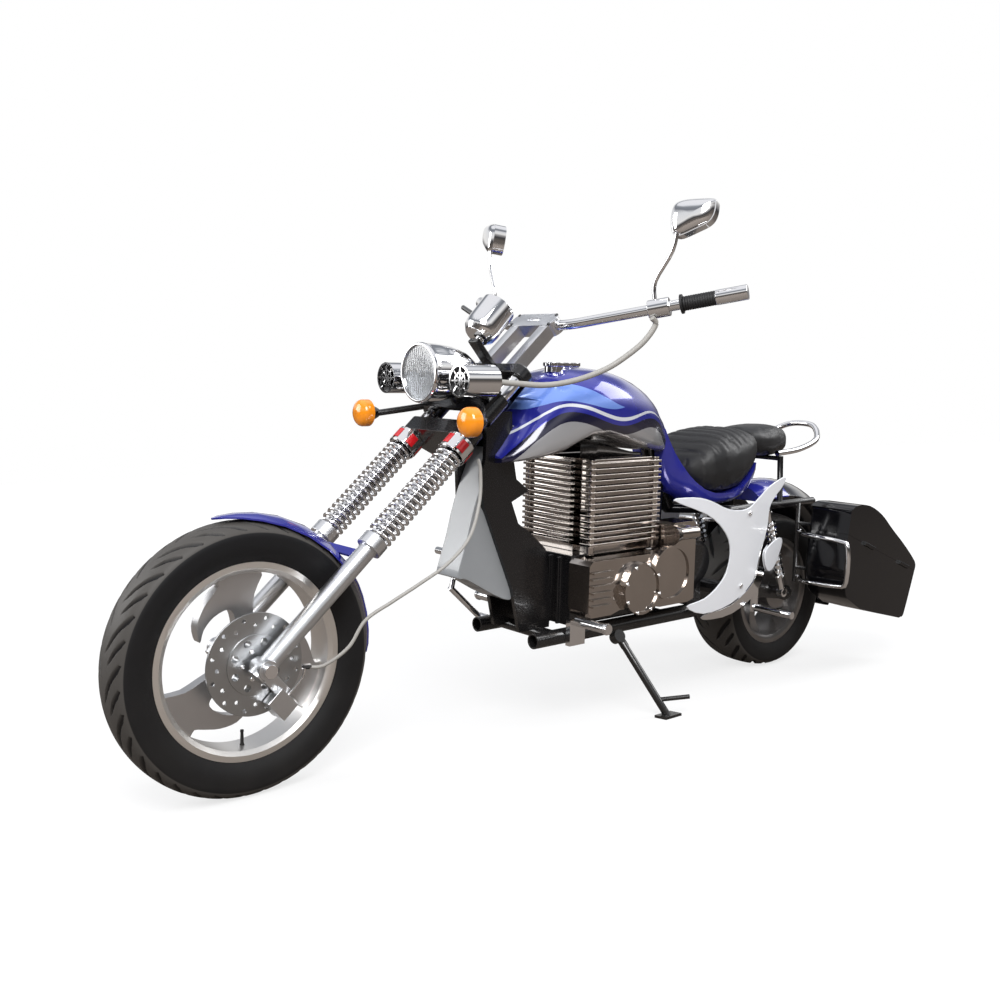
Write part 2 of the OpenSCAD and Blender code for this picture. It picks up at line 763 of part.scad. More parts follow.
// Side stand hinge: z along the pin, x down the leg
function stand_leg() = [stand_foot_x - stand_pivot_x, stand_foot_y - stand_pivot_y, stand_foot_z - stand_pivot_z];
function stand_stow() = unit([-1, 0.14, 0.03]);
function stand_axis() = unit(cross(stand_leg(), stand_stow()));
function stand_lug_pt() = [stand_pivot_x, stand_pivot_y, stand_pivot_z]
  - stand_axis() * (stand_eye_w / 2 + stand_lug_t);
module stand_space() {
  d = unit(stand_leg());
  a = stand_axis();
  b = cross(a, d);
  multmatrix([[d[0], b[0], a[0], stand_pivot_x], [d[1], b[1], a[1], stand_pivot_y],
    [d[2], b[2], a[2], stand_pivot_z], [0, 0, 0, 1]]) children();
}
module side_stand() {
  color("#141518") placed() {
    difference() {
      union() {
        stand_space() {
          translate([0, 0, -stand_eye_w / 2]) cylinder(r = stand_eye_r, h = stand_eye_w);
          translate([0, -stand_eye_r / 2, -stand_eye_w / 2]) cube([2 * stand_eye_r, stand_eye_r, stand_eye_w]);
          translate([stand_eye_r + cut, 0, 0]) rotate([0, 90, 0])
            cylinder(r = stand_leg_r, h = norm(stand_leg()) - stand_eye_r - stand_pad_h / 2);
        }
        rod([stand_foot_x, stand_foot_y, stand_foot_z] - unit(stand_leg()) * stand_tang_len,
          [stand_foot_x - stand_tang_len, stand_foot_y + stand_tang_len / 2, stand_foot_z + stand_tang_len],
          stand_tang_r);
        rotate([lean_deg, 0, 0]) translate([stand_foot_x - stand_pad_len / 2,
          stand_foot_y / cos(lean_deg) - stand_pad_w / 2, -origin_z])
          cube([stand_pad_len, stand_pad_w, stand_pad_h]);
      }
      stand_space() translate([0, 0, -stand_eye_w]) cylinder(r = stand_pin_r + run_gap, h = 2 * stand_eye_w);
      rotate([lean_deg, 0, 0]) translate([stand_foot_x - stand_pad_len, stand_foot_y - 2 * stand_pad_w,
        -origin_z - stand_tang_len]) cube([2 * stand_pad_len, 4 * stand_pad_w, stand_tang_len]);
    }
  }
}

module chin_panel() {
  color("#8f9397") placed()
    upright_plate(smooth_loop(fit(chin_shares, chin_x, chin_z, chin_len, chin_h), 3), -chin_half_w, 2 * chin_half_w);
}

module tank_body() {
  skin([for (s = tank_shares)
    let (b = tank_z + s[2] * tank_h, t = tank_z + s[3] * tank_h)
    dome_ring(tank_x + s[0] * tank_len, s[1] * tank_half_w, b, b + tank_waist_share * (t - b), t, tank_ring_n)]);
}
module tank() {
  color("#1c24a0") placed() difference() {
    tank_body();
    backbone_line(seat_gap);
    spine_line(2 * seat_gap);
    translate([plate_x + plate_slot_share * plate_w, -plate_y - plate_t / 2 - seat_gap, tank_z - cut])
      cube([tank_len, 2 * plate_y + plate_t + 2 * seat_gap, plate_z + plate_h + 2 * cut - tank_z + cut]);
    fork_space() translate([-stem_offset, 0, head_z]) cylinder(r = neck_r + tunnel_gap, h = head_h);
    fork_space() translate([-stem_offset - stem_boss_r - tunnel_gap, -tank_half_w, upper_clamp_z - tunnel_gap])
      cube([tank_h, 2 * tank_half_w, upper_clamp_h + 2 * tunnel_gap]);
    for (s = cap_place_shares) translate(cap_place(s)) cylinder(r = cap_r + run_gap, h = tank_h);
  }
}
function cap_place(s) = [
  tank_x + s[0] * tank_len, s[1] * tank_half_w / 2, tank_z + tank_h - cap_h + seat_gap
];
module tank_caps() {
  color("#c9ccd0") placed() for (s = cap_place_shares) translate(cap_place(s) + [0, 0, run_gap]) {
    cylinder(r = cap_r, h = cap_h + cap_sink);
    translate([0, 0, cap_h]) cylinder(r = cap_r + cap_lip, h = cap_sink + cap_lip);
  }
}

function spine_side(u) =
  let (v = [spine_low_x - spine_top_x, spine_low_z - spine_top_z])
  [spine_top_x, spine_top_z] + u * v + (spine_r + tunnel_gap / 2) * unit([v[1], -v[0]]);
module spine_cover() {
  color("#1c24a0") placed() difference() {
    skin(concat(
      [for (s = seat_shares) band_ring(seat_x + s[0] * seat_len, s[4] * seat_half_w, seat_z + s[5] * seat_h,
        seat_z + s[2] * seat_h - seat_seam_gap, seat_seam_gap, seat_ring_n)],
      [for (s = spine_shares) band_ring(seat_x + s[0] * seat_len, s[1] * seat_half_w, seat_z + s[3] * seat_h,
        seat_z + s[2] * seat_h, s[4] * seat_h, seat_ring_n)]));
    upright_plate([spine_side(-0.3), spine_side(1.2), [spine_low_x, seat_z - seat_h], [spine_top_x + tank_h, seat_z],
      spine_side(-0.3) + [tank_h, 0]], -spine_r - tunnel_gap, 2 * (spine_r + tunnel_gap));
    post_lines(2 * seat_gap);
  }
}
module seat() {
  color("#1b1c1f") placed() skin([for (s = seat_shares)
    pad_ring(seat_x + s[0] * seat_len, s[1] * seat_half_w, seat_z + s[2] * seat_h, seat_z + s[3] * seat_h, seat_ring_n)]);
}
module pillion_pad() {
  color("#1b1c1f") placed() skin([for (s = pillion_shares)
    pad_ring(pillion_x + s[0] * (pillion_len - pillion_gap), s[1] * pillion_half_w, pillion_z + s[2] * pillion_h / 2,
      pillion_z + s[3] * pillion_h, seat_ring_n)]);
}
module grab_rail() {
  path = smooth_path([
    [pad_post_x + 2 * grab_r, grab_y, grab_low_z], [pillion_x, grab_y, grab_low_z + grab_r],
    [grab_back_x + grab_y / 2, grab_y * 0.92, grab_low_z + grab_rise / 2],
    [grab_back_x, grab_y / 2, grab_low_z + grab_rise], [grab_back_x - grab_r, 0, grab_low_z + grab_rise + grab_r],
    [grab_back_x, -grab_y / 2, grab_low_z + grab_rise],
    [grab_back_x + grab_y / 2, -grab_y * 0.92, grab_low_z + grab_rise / 2],
    [pillion_x, -grab_y, grab_low_z + grab_r], [pad_post_x + 2 * grab_r, -grab_y, grab_low_z]], 5);
  color("#d4d6d9") placed() sweep(path, grab_r, 12, [0, 0.1, 1]);
}

module cylinder_block() {
  pitch = (block_h - fin_start_z) / fin_count;
  color("#a9a29a") placed() translate([block_x, 0, block_z + seat_gap]) difference() {
    union() {
      translate([fin_depth, -block_half_w + fin_depth, 0])
        cube([block_len - 2 * fin_depth, block_w - 2 * fin_depth, block_h]);
      for (k = [0:fin_count - 1]) translate([0, -block_half_w, fin_start_z + k * pitch])
        cube([block_len, block_w, fin_t]);
      for (x = [corner_post_r, block_len - corner_post_r], y = [-1, 1])
        translate([x, y * (block_half_w - corner_post_r), 0]) cylinder(r = corner_post_r - cut, h = block_h);
    }
    translate([block_len - block_slot_depth, block_half_w - 2 * block_slot_w, -cut])
      cube([block_slot_depth + cut, block_slot_w, block_h + 2 * cut]);
  }
}
module engine_base() {
  step = base_len / base_rib_count;
  color("#1a1b1d") placed() translate([base_x, 0, base_z]) {
    translate([0, -base_half_w, 0]) cube([base_len - base_rib_depth, 2 * base_half_w, block_z - base_z]);
    for (k = [1:base_rib_count]) translate([base_len - base_rib_depth, -base_half_w + k * step / 2 - base_rib_t, 0])
      cube([base_rib_depth, base_rib_t, block_z - base_z - base_rib_t]);
  }
}
module case_side() {
  y0 = base_half_w + seat_gap;
  upright_plate(fit(case_shares, case_x, case_z, case_len, case_h), y0, case_w);
  upright_plate(fit([[0, 0], [1, 0], [1, 0.96], [0.9, 1], [0.1, 1], [0, 0.94]], case_x, case_z + case_h / 2, tower_len,
    tower_h - case_h / 2), y0, case_w);
  for (c = cover_shares) translate([case_x + c[0] * case_len, y0 + case_w, case_z + c[1] * case_h]) rotate([-90, 0, 0]) {
    cylinder(r = c[2] * case_h, h = c[3] * case_w);
    translate([0, 0, c[3] * case_w]) difference() {
      cylinder(r = c[2] * case_h, h = cover_step);
      translate([0, 0, -cut]) cylinder(r = c[2] * case_h - cover_rim, h = cover_step + 2 * cut);
    }
  }
  f = small_fin_shares;
  for (k = [0:small_fin_count - 1]) translate([case_x + f[0] * case_len, y0 + case_w,
    case_z + (f[2] + (f[3] - f[2]) * k / (small_fin_count - 1)) * case_h])
    cube([(f[1] - f[0]) * case_len, small_fin_h, small_fin_t]);
}
module crankcase() {
  color("#b4ada4") placed() {
    both_sides() case_side();
    translate([case_x + tower_len / 2, base_half_w + case_w, case_z + tower_h - intake_horn_r]) {
      rotate([-90, 0, 0]) cylinder(r = intake_r, h = intake_horn_len);
      translate([-intake_r, intake_horn_len, 0]) rotate([0, 90, 0]) cylinder(r = intake_r - cut, h = intake_len);
      translate([intake_len - intake_r, intake_horn_len, 0]) rotate([0, 90, 0])
        cylinder(r1 = intake_r, r2 = intake_horn_r, h = intake_horn_len);
    }
  }
}
module motor() {
  step = 2 * motor_half_w / motor_fin_count;
  color("#17181a") placed() {
    across(motor_x, -motor_half_w, motor_z, motor_r * motor_core_share, 2 * motor_half_w);
    for (k = [0:motor_fin_count - 1])
      across(motor_x, -motor_half_w + k * step + (step - motor_fin_t) / 2, motor_z, motor_r, motor_fin_t);
    translate([motor_x - motor_foot_len / 2, -motor_foot_half_w, cradle_z + cradle_r + seat_gap])
      cube([motor_foot_len, 2 * motor_foot_half_w, motor_z - motor_r / 2 - cradle_z - cradle_r]);
  }
}

module bowed(y, t) {
  intersection() {
    children();
    translate([panel_x + panel_len / 2, y + t - panel_bow_r, panel_z - panel_h]) difference() {
      cylinder(r = panel_bow_r, h = 3 * panel_h, $fn = 180);
      translate([0, 0, -cut]) cylinder(r = panel_bow_r - t, h = 3 * panel_h + 2 * cut, $fn = 180);
    }
  }
}
module side_panels() {
  color("#e9ecef") placed() both_sides() bowed(panel_y, panel_t) {
    upright_plate(smooth_loop(fit(panel_shares, panel_x, panel_z, panel_len, panel_h), 3), panel_y - panel_len, 2 * panel_len);
    upright_plate(smooth_loop(fit(crescent_shares, panel_x, panel_z, panel_len, panel_h), 3), panel_y - panel_len, 2 * panel_len);
  }
}
module panel_trims() {
  color("#b9bcc0") placed() both_sides() bowed(panel_y - panel_t - seat_gap, panel_t)
    upright_plate(smooth_loop(fit(trim_shares, panel_x, panel_z, panel_len, panel_h), 3), panel_y - panel_len, 2 * panel_len);
}

module rear_fender() {
  r = rear_tyre_r + rear_fender_gap;
  n = 24;
  color("#15161c") placed() translate([0, 0, rear_axle_z]) skin([for (k = [0:n])
    let (u = k / n, a = rear_fender_front_deg + (rear_fender_back_deg - rear_fender_front_deg) * u)
    blade_ring(a, r, rear_fender_half_w * (1 - 0.25 * pow(2 * u - 1, 4)), rear_fender_drop, rear_fender_t, fender_ring_n)]);
}
module tail_lamp() {
  r = rear_tyre_r + rear_fender_gap + rear_fender_t;
  color("#b5141a") placed() translate([0, 0, rear_axle_z]) rotate([0, -tail_lamp_deg, 0]) translate([r + seat_gap, 0, 0])
    rotate([0, 90, 0]) cylinder(r1 = tail_lamp_r, r2 = tail_lamp_r * 0.86, h = tail_lamp_len);
}
module swing_arm() {
  y0 = arm_y - arm_w / 2;
  tip = [pivot_x, pivot_z - rear_axle_z];
  side = [-tip[1], tip[0]] / norm(tip) * arm_h / 2;
  color("#17181a") placed() {
    both_sides() {
      translate([0, 0, rear_axle_z]) upright_plate([side, -side, tip - side, tip + side], y0, arm_w);
      across(0, y0, rear_axle_z, axle_boss_r, arm_w);
      across(shock_low_x, arm_y, shock_low_z, shock_pin_r, shock_y + shock_eye_w / 2 - arm_y);
      across(0, arm_y, rear_axle_z, nut_r, arm_w / 2 + nut_h);
      across(0, rear_hub_w / 2 + seat_gap, rear_axle_z, nut_r, arm_y - rear_hub_w / 2 - seat_gap - cut);
    }
    across(pivot_x, -y0 - arm_w, pivot_z, arm_h / 2 + cut, 2 * (y0 + arm_w));
    across(pivot_x, -cradle_y - cradle_r - nut_h, pivot_z, pivot_bolt_r, 2 * (cradle_y + cradle_r + nut_h));
    across(0, -arm_y - arm_w / 2 - nut_h - cut, rear_axle_z, rear_axle_r, 2 * (arm_y + nut_h + cut) + arm_w);
  }
}
module shocks() {
  low = [shock_low_x, shock_y, shock_low_z];
  top = [shock_top_x, shock_y, seat_rail_z];
  d = unit(top - low);
  l = norm(top - low);
  color("#c4c7cb") placed() both_sides() difference() {
    union() {
      rod(low, top, shock_r);
      for (p = [low, top]) across(p[0], shock_y - shock_eye_w / 2, p[2], shock_eye_r, shock_eye_w);
      for (k = [0:shock_coil_count - 1]) {
        p = low + d * l * (0.2 + 0.6 * k / (shock_coil_count - 1));
        rod(p, p + d * shock_coil_t, shock_coil_r);
      }
    }
    for (p = [low, top]) across(p[0], shock_y - shock_eye_w, p[2], shock_pin_r + run_gap, 2 * shock_eye_w);
  }
}

module bag_outline() {
  polygon(smooth_loop(fit(bag_shares, bag_back_x, bag_z, bag_len, bag_h), 3));
}
module bag_half(top) {
  a = [bag_back_x + bag_seam_shares[0][0] * bag_len, bag_z + bag_seam_shares[0][1] * bag_h];
  b = [bag_back_x + bag_seam_shares[1][0] * bag_len, bag_z + bag_seam_shares[1][1] * bag_h];
  g = top ? [0, bag_seam_gap / 2] : [0, -bag_seam_gap / 2];
  far = [0, top ? bag_h : -bag_h];
  w = (b - a) / 4;
  intersection() {
    children();
    polygon([a - w + g, b + w + g, b + w + far, a - w + far]);
  }
}
module bag_shell(top) {
  translate([0, bag_y + bag_w, 0]) rotate([90, 0, 0]) difference() {
    linear_extrude(height = bag_w) bag_half(top) bag_outline();
    translate([0, 0, bag_wall]) linear_extrude(height = bag_w - 2 * bag_wall)
      bag_half(top) offset(delta = -bag_wall) bag_outline();
    translate([0, 0, bag_wall]) linear_extrude(height = bag_w - 2 * bag_wall) bag_seam_cut();
  }
}
module bag_seam_cut() {
  a = [bag_back_x + bag_seam_shares[0][0] * bag_len, bag_z + bag_seam_shares[0][1] * bag_h];
  b = [bag_back_x + bag_seam_shares[1][0] * bag_len, bag_z + bag_seam_shares[1][1] * bag_h];
  intersection() {
    offset(delta = -bag_wall) bag_outline();
    polygon([a - [0, cut], b - [0, cut], b + [0, cut], a + [0, cut]]);
  }
}
function bag_hinge_pt(at) =
  let (a = bag_seam_shares[0], b = bag_seam_shares[1], y = bag_y + bag_w + bag_hinge_out)
  [bag_back_x + a[0] * bag_len, y, bag_z + a[1] * bag_h]
    + at * unit([(b[0] - a[0]) * bag_len, 0, (b[1] - a[1]) * bag_h]);
module bag_knuckle(share, from, to, r) {
  m = share * bag_len;
  rod(bag_hinge_pt(m + from), bag_hinge_pt(m + to), r);
}
module bag_base() {
  l = bag_knuckle_len;
  difference() {
    bag_shell(false);
    for (s = bag_knuckle_shares) bag_knuckle(s, -l / 2 - seat_gap, l / 2 + seat_gap, bag_hinge_r + seat_gap);
  }
  for (s = bag_knuckle_shares) {
    bag_knuckle(s, -l, -l / 2 - seat_gap, bag_hinge_r);
    bag_knuckle(s, l / 2 + seat_gap, l, bag_hinge_r);
    bag_knuckle(s, -l / 2 - cut, l / 2 + cut, bag_pin_r);
  }
}
module bag_lid() {
  l = bag_knuckle_len;
  difference() {
    union() {
      bag_shell(true);
      for (s = bag_knuckle_shares) bag_knuckle(s, -l / 2, l / 2, bag_hinge_r);
    }
    for (s = bag_knuckle_shares) {
      bag_knuckle(s, -l - seat_gap, -l / 2, bag_hinge_r + seat_gap);
      bag_knuckle(s, l / 2, l + seat_gap, bag_hinge_r + seat_gap);
      bag_knuckle(s, -l, l, bag_pin_r + run_gap);
    }
  }
}
module saddlebag_left() {
  color("#101114") placed() bag_base();
}
module saddlebag_right() {
  color("#101114") placed() mirror([0, 1, 0]) bag_base();
}
module bag_lid_left() {
  color("#101114") placed() bag_lid();
}
module bag_lid_right() {
  color("#101114") placed() mirror([0, 1, 0]) bag_lid();
}
module bag_rails() {
  y0 = hanger_y + hanger_r + seat_gap;
  path = smooth_path([for (s = rail_shares) [hanger_x + s[0] * rail_len, y0 + s[1] * (rail_out_y - y0),
    rail_low_z + s[2] * (rail_top_z - rail_low_z)]], 3);
  color("#d4d6d9") placed() both_sides() sweep(path, rail_r, 10, [1, 0.05, 0.05]);
}
module foot_pegs() {
  y0 = cradle_y + cradle_r + seat_gap;
  y1 = arm_y + arm_w / 2 + seat_gap;
  color("#cfd1d4") placed() both_sides() {
    translate([peg_x - peg_plate_len / 2, y0, cradle_z - cradle_r]) cube([peg_plate_len, peg_plate_t, peg_plate_h]);
    across(peg_x, y0 + peg_plate_t - cut, peg_z, peg_r, peg_len);
    across(peg_x, y0 + peg_plate_t + peg_len - peg_r, peg_z, peg_r + cut, peg_r / 2);
    translate([pillion_peg_x - pillion_peg_plate_len / 2, y1, pillion_peg_z - pillion_peg_r])
      cube([pillion_peg_plate_len, pillion_peg_plate_t, pillion_peg_plate_h]);
    across(pillion_peg_x, y1 + cut, pillion_peg_z, pillion_peg_r, pillion_peg_len);
  }
}
module brake_pedal() {
  y0 = -cradle_y - cradle_r - seat_gap;
  a = [pedal_pivot_x, -pedal_y, cradle_z];
  k = [pedal_knee_x, -pedal_y, pedal_knee_z];
  t = [pedal_tip_x, -pedal_y, pedal_tip_z];
  color("#b9bcc0") placed() {
    across(pedal_pivot_x, -pedal_y - pedal_r, cradle_z, pedal_boss_r, pedal_y + pedal_r + y0);
    rod(a, k, pedal_r);
    rod(k + (a - k) * 0.04, t, pedal_r - cut / 2);
    across(pedal_tip_x, -pedal_y - pedal_out, pedal_tip_z, pedal_toe_r, pedal_out + pedal_r);
  }
}

module tyre_profile(r, w, bed_r, bed_w, rim_r, rim_w) {
  polygon(concat(
    [[bed_r, -bed_w / 2], [rim_r, -bed_w / 2], [rim_r, -rim_w / 2 - bead_gap]],
    tyre_curve(r, w, rim_r),
    [[rim_r, rim_w / 2 + bead_gap], [rim_r, bed_w / 2], [bed_r, bed_w / 2]]));
}
module rim_profile(rim_r, rim_w) {
  bed = rim_r - flange_h;
  polygon([
    [bed - rim_bed_t, -rim_w / 2 + flange_t], [bed - cut, -rim_w / 2], [rim_r, -rim_w / 2],
    [rim_r, -rim_w / 2 + flange_t], [bed, -rim_w / 2 + flange_t], [bed, rim_w / 2 - flange_t],
    [rim_r, rim_w / 2 - flange_t], [rim_r, rim_w / 2], [bed - cut, rim_w / 2],
    [bed - rim_bed_t, rim_w / 2 - flange_t]
  ]);
}
function polar(shares, r, turn) = [for (s = shares) s[0] * r * [sin(s[1] + turn), cos(s[1] + turn)]];
module spokes(shares, r, count, t) {
  for (k = [0:count - 1]) upright_plate(smooth_loop(polar(shares, r, 360 * k / count), 3), -t / 2, t);
}
module front_hub_place() {
  translate([wheelbase, 0, front_axle_z]) children();
}
module front_tyre() {
  bed = front_rim_r - flange_h + bead_gap;
  color("#16171a") placed() front_hub_place() wheel_turn()
    tyre_profile(front_tyre_r, front_tyre_w, bed, front_rim_w - 2 * flange_t - 2 * bead_gap, front_rim_r + bead_gap, front_rim_w);
}
module front_rim() {
  color("#c3c6ca") placed() front_hub_place() difference() {
    union() {
      wheel_turn() rim_profile(front_rim_r, front_rim_w);
      spokes(spoke_shares, front_rim_r - flange_h, front_spoke_count, spoke_t);
      across(0, -front_hub_w / 2, 0, front_hub_r, front_hub_w);
    }
    across(0, -front_hub_w, 0, front_axle_r + run_gap, 2 * front_hub_w);
  }
}
module brake_disc() {
  inner = disc_r * disc_ring_share;
  y0 = front_hub_w / 2 + seat_gap;
  color("#8d9094") placed() front_hub_place() difference() {
    union() {
      across(0, disc_y, 0, disc_r, disc_t);
      across(0, y0, 0, inner - carrier_slot_r, disc_y - y0 + carrier_t);
    }
    across(0, y0 - cut, 0, spacer_r + caliper_gap, disc_y + carrier_t);
    for (k = [0:disc_hole_count - 1]) rotate([0, 360 * k / disc_hole_count, 0])
      across(0, disc_y - cut, inner + (disc_r - inner) * (k % 2 == 0 ? 0.35 : 0.7), disc_hole_r, disc_t + carrier_t);
    for (k = [0:carrier_slot_count - 1]) rotate([0, 360 * (k + 0.5) / carrier_slot_count, 0])
      across(0, y0 - cut, inner * 0.7, carrier_slot_r, disc_y + carrier_t);
  }
}
module rear_tyre() {
  bed = rear_rim_r - flange_h + bead_gap;
  color("#16171a") placed() translate([0, 0, rear_axle_z]) wheel_turn()
    tyre_profile(rear_tyre_r, rear_tyre_w, bed, rear_rim_w - 2 * flange_t - 2 * bead_gap, rear_rim_r + bead_gap, rear_rim_w);
}
module rear_rim() {
  color("#c3c6ca") placed() translate([0, 0, rear_axle_z]) difference() {
    union() {
      wheel_turn() rim_profile(rear_rim_r, rear_rim_w);
      spokes(rear_spoke_shares, rear_rim_r - flange_h, rear_spoke_count, rear_spoke_t);
      across(0, -rear_hub_w / 2, 0, rear_hub_r, rear_hub_w);
    }
    across(0, -rear_hub_w, 0, rear_axle_r + run_gap, 2 * rear_hub_w);
  }
}

module front_axle() {
  color("#c3c6ca") placed() front_hub_place() {
    across(0, -leg_y - lug_w / 2 - nut_h, 0, front_axle_r, 2 * leg_y + lug_w + 2 * nut_h);
    both_sides() {
      across(0, leg_y + lug_w / 2 + seat_gap, 0, nut_r, nut_h - seat_gap);
      across(0, front_hub_w / 2 + seat_gap, 0, spacer_r, leg_y - lug_w / 2 - front_hub_w / 2 - 2 * seat_gap);
    }
  }
}
module fork_legs() {
  color("#cfd2d6") placed() fork_space() both_sides() difference() {
    union() {
      translate([0, leg_y, -leg_tail]) cylinder(r = leg_r, h = leg_h + leg_tail + cut);
      translate([0, leg_y, leg_h]) cylinder(r = collar_r, h = collar_h);
      across(0, leg_y - lug_w / 2, 0, lug_r, lug_w);
    }
    translate([0, leg_y, tube_bottom - seat_gap]) cylinder(r = tube_r + run_gap, h = leg_h);
    across(0, leg_y - lug_w, 0, front_axle_r + run_gap, 2 * lug_w);
  }
}
module fork_tubes() {
  color("#d9dbde") placed() fork_space() both_sides() translate([0, leg_y, 0]) {
    translate([0, 0, tube_bottom]) cylinder(r = tube_r, h = tube_top + tube_over - tube_bottom);
    translate([0, 0, lower_clamp_z - cover_h - seat_gap]) difference() {
      cylinder(r = spring_r + spring_wire_r + cover_gap + cover_wall, h = cover_h);
      translate([0, 0, -cut]) cylinder(r = spring_r + spring_wire_r + cover_gap, h = cover_h + cut - cover_wall);
    }
  }
}
module fork_springs() {
  n = spring_turns * spring_step_n;
  z0 = leg_top + spring_wire_r + seat_gap;
  z1 = lower_clamp_z - cover_wall - spring_wire_r - 2 * seat_gap;
  rings = [for (i = [0:n])
    let (a = 360 * i / spring_step_n, z = z0 + (z1 - z0) * i / n, c = [spring_r * cos(a), spring_r * sin(a), z],
      t = unit([-sin(a), cos(a), (z1 - z0) / (spring_turns * 2 * PI * spring_r)]))
    ring_at(c, t, [0, 0, 1], spring_wire_r, spring_side_n)];
  color("#cdd0d4") placed() fork_space() both_sides() translate([0, leg_y, 0]) skin(rings);
}
module clamp_outline(r, boss) {
  hull() {
    translate([0, leg_y]) circle(r = r);
    translate([-stem_offset, 0]) circle(r = boss);
    translate([0, -leg_y]) circle(r = r);
  }
}
module lower_clamp() {
  color("#1a1b1d") placed() fork_space() {
    translate([0, 0, lower_clamp_z]) difference() {
      linear_extrude(height = lower_clamp_h) clamp_outline(clamp_r, stem_boss_r);
      both_sides() translate([0, leg_y, -cut]) cylinder(r = tube_r + run_gap, h = lower_clamp_h + 2 * cut);
    }
    translate([-stem_offset, 0, head_z - cut]) cylinder(r = stem_r, h = tube_top + stem_over - head_z + cut);
  }
}
module upper_clamp() {
  color("#1a1b1d") placed() fork_space() difference() {
    union() {
      translate([0, 0, upper_clamp_z]) linear_extrude(height = upper_clamp_h) clamp_outline(clamp_r - cut, stem_boss_r - cut);
      translate([0, -gauge_arm_w / 2, upper_clamp_z + upper_clamp_h - gauge_arm_t])
        cube([gauge_fwd, gauge_arm_w, gauge_arm_t]);
    }
    both_sides() translate([0, leg_y, upper_clamp_z - cut]) cylinder(r = tube_r + run_gap, h = upper_clamp_h + 2 * cut);
    translate([-stem_offset, 0, upper_clamp_z - cut]) cylinder(r = stem_r + run_gap, h = upper_clamp_h + 2 * cut);
  }
}

module lamp_solid(grow) {
  level_at(lamp_fwd, 0, lamp_up) rotate([0, -90, 0]) rotate_extrude($fn = 96)
    polygon(concat([[0, 0]], [for (s = lamp_shares) [s[0] * lamp_r + grow, s[1] * lamp_len]], [[0, lamp_len + grow]]));
}
module speaker_solid(grow) {
  both_sides() level_at(speaker_fwd, speaker_y, speaker_up) rotate([0, -90, 0])
    translate([0, 0, -grow]) cylinder(r = speaker_r + grow, h = speaker_len + 2 * grow);
}
module signal_solid(grow) {
  both_sides() level_at(signal_fwd, signal_y, signal_up) rotate([0, -90, 0]) cylinder(r = signal_r + grow, h = signal_len);
}
module lamp_bracket() {
  p = fork_pt(signal_fwd, signal_y, signal_up);
  color("#1a1b1d") placed() difference() {
    union() {
      fork_space() {
        both_sides() translate([0, leg_y, bracket_z]) cylinder(r = bracket_clamp_r, h = bracket_h);
        translate([bracket_x, -leg_y - bracket_clamp_r, bracket_z]) cube([bracket_t, 2 * (leg_y + bracket_clamp_r), bracket_h]);
      }
      rod(fork_pt(bracket_x, 0, bracket_z + bracket_h / 2), fork_pt(lamp_fwd / 2, 0, bracket_z + bracket_h / 2), lamp_foot_r);
      both_sides() {
        rod(fork_pt(bracket_x, leg_y + cut, bracket_z + bracket_h / 2),
          fork_pt(speaker_fwd - speaker_len / 3, speaker_y, speaker_up + speaker_len / 3), speaker_bar_r);
        rod(fork_pt(bracket_x, leg_y + bracket_clamp_r / 2, bracket_z + signal_stalk_r),
          p - [signal_len + signal_base_len - cut, signal_stalk_r, 0], signal_stalk_r);
        translate(p - [signal_len + signal_base_len, 0, 0]) rotate([0, 90, 0])
          cylinder(r1 = signal_base_r / 2, r2 = signal_base_r, h = signal_base_len - seat_gap);
      }
    }
    lamp_solid(seat_gap);
    speaker_solid(seat_gap);
    fork_space() both_sides() translate([0, leg_y, bracket_z - cut]) cylinder(r = tube_r + run_gap, h = bracket_h + 2 * cut);
  }
}
module headlamp() {
  color("#d6d8db") placed() difference() {
    lamp_solid(0);
    level_at(lamp_fwd, 0, lamp_up) rotate([0, -90, 0]) translate([0, 0, -cut])
      cylinder(r = lamp_r - lamp_lip, h = lamp_lens_inset + lamp_lens_t + cut);
  }
}
module headlamp_lens() {
  color("#dfe6ea") placed() level_at(lamp_fwd, 0, lamp_up) rotate([0, -90, 0])
    translate([0, 0, lamp_lens_inset - seat_gap]) cylinder(r = lamp_r - lamp_lip - seat_gap, h = lamp_lens_t);
}
module speakers() {
  r = speaker_r - lamp_lip;
  color("#d0d2d5") placed() {
    difference() {
      speaker_solid(0);
      both_sides() level_at(speaker_fwd, speaker_y, speaker_up) rotate([0, -90, 0]) translate([0, 0, -cut])
        cylinder(r = r, h = grille_depth + cut);
    }
    both_sides() level_at(speaker_fwd, speaker_y, speaker_up) rotate([0, -90, 0]) {
      for (k = [0:grille_spoke_count - 1]) rotate([0, 0, 360 * k / grille_spoke_count])
        translate([0, -grille_spoke_w / 2, cut]) cube([r + cut, grille_spoke_w, grille_t]);
      translate([0, 0, cut]) difference() {
        cylinder(r = r * grille_ring_share + grille_spoke_w, h = grille_t);
        translate([0, 0, -cut]) cylinder(r = r * grille_ring_share, h = grille_t + 2 * cut);
      }
      translate([0, 0, cut]) cylinder(r = grille_hub_r, h = grille_t);
    }
  }
}
module signal_lenses() {
  color("#f08a12") placed() both_sides() level_at(signal_fwd, signal_y, signal_up) rotate([0, -90, 0])
    rotate_extrude() polygon(concat([[0, 0]],
      [for (k = [1:6]) let (a = 15 * k) [signal_r * sin(a), signal_len / 2 * (1 - cos(a))]],
      [[signal_r, signal_len - cut], [signal_base_r, signal_len], [0, signal_len]]));
}
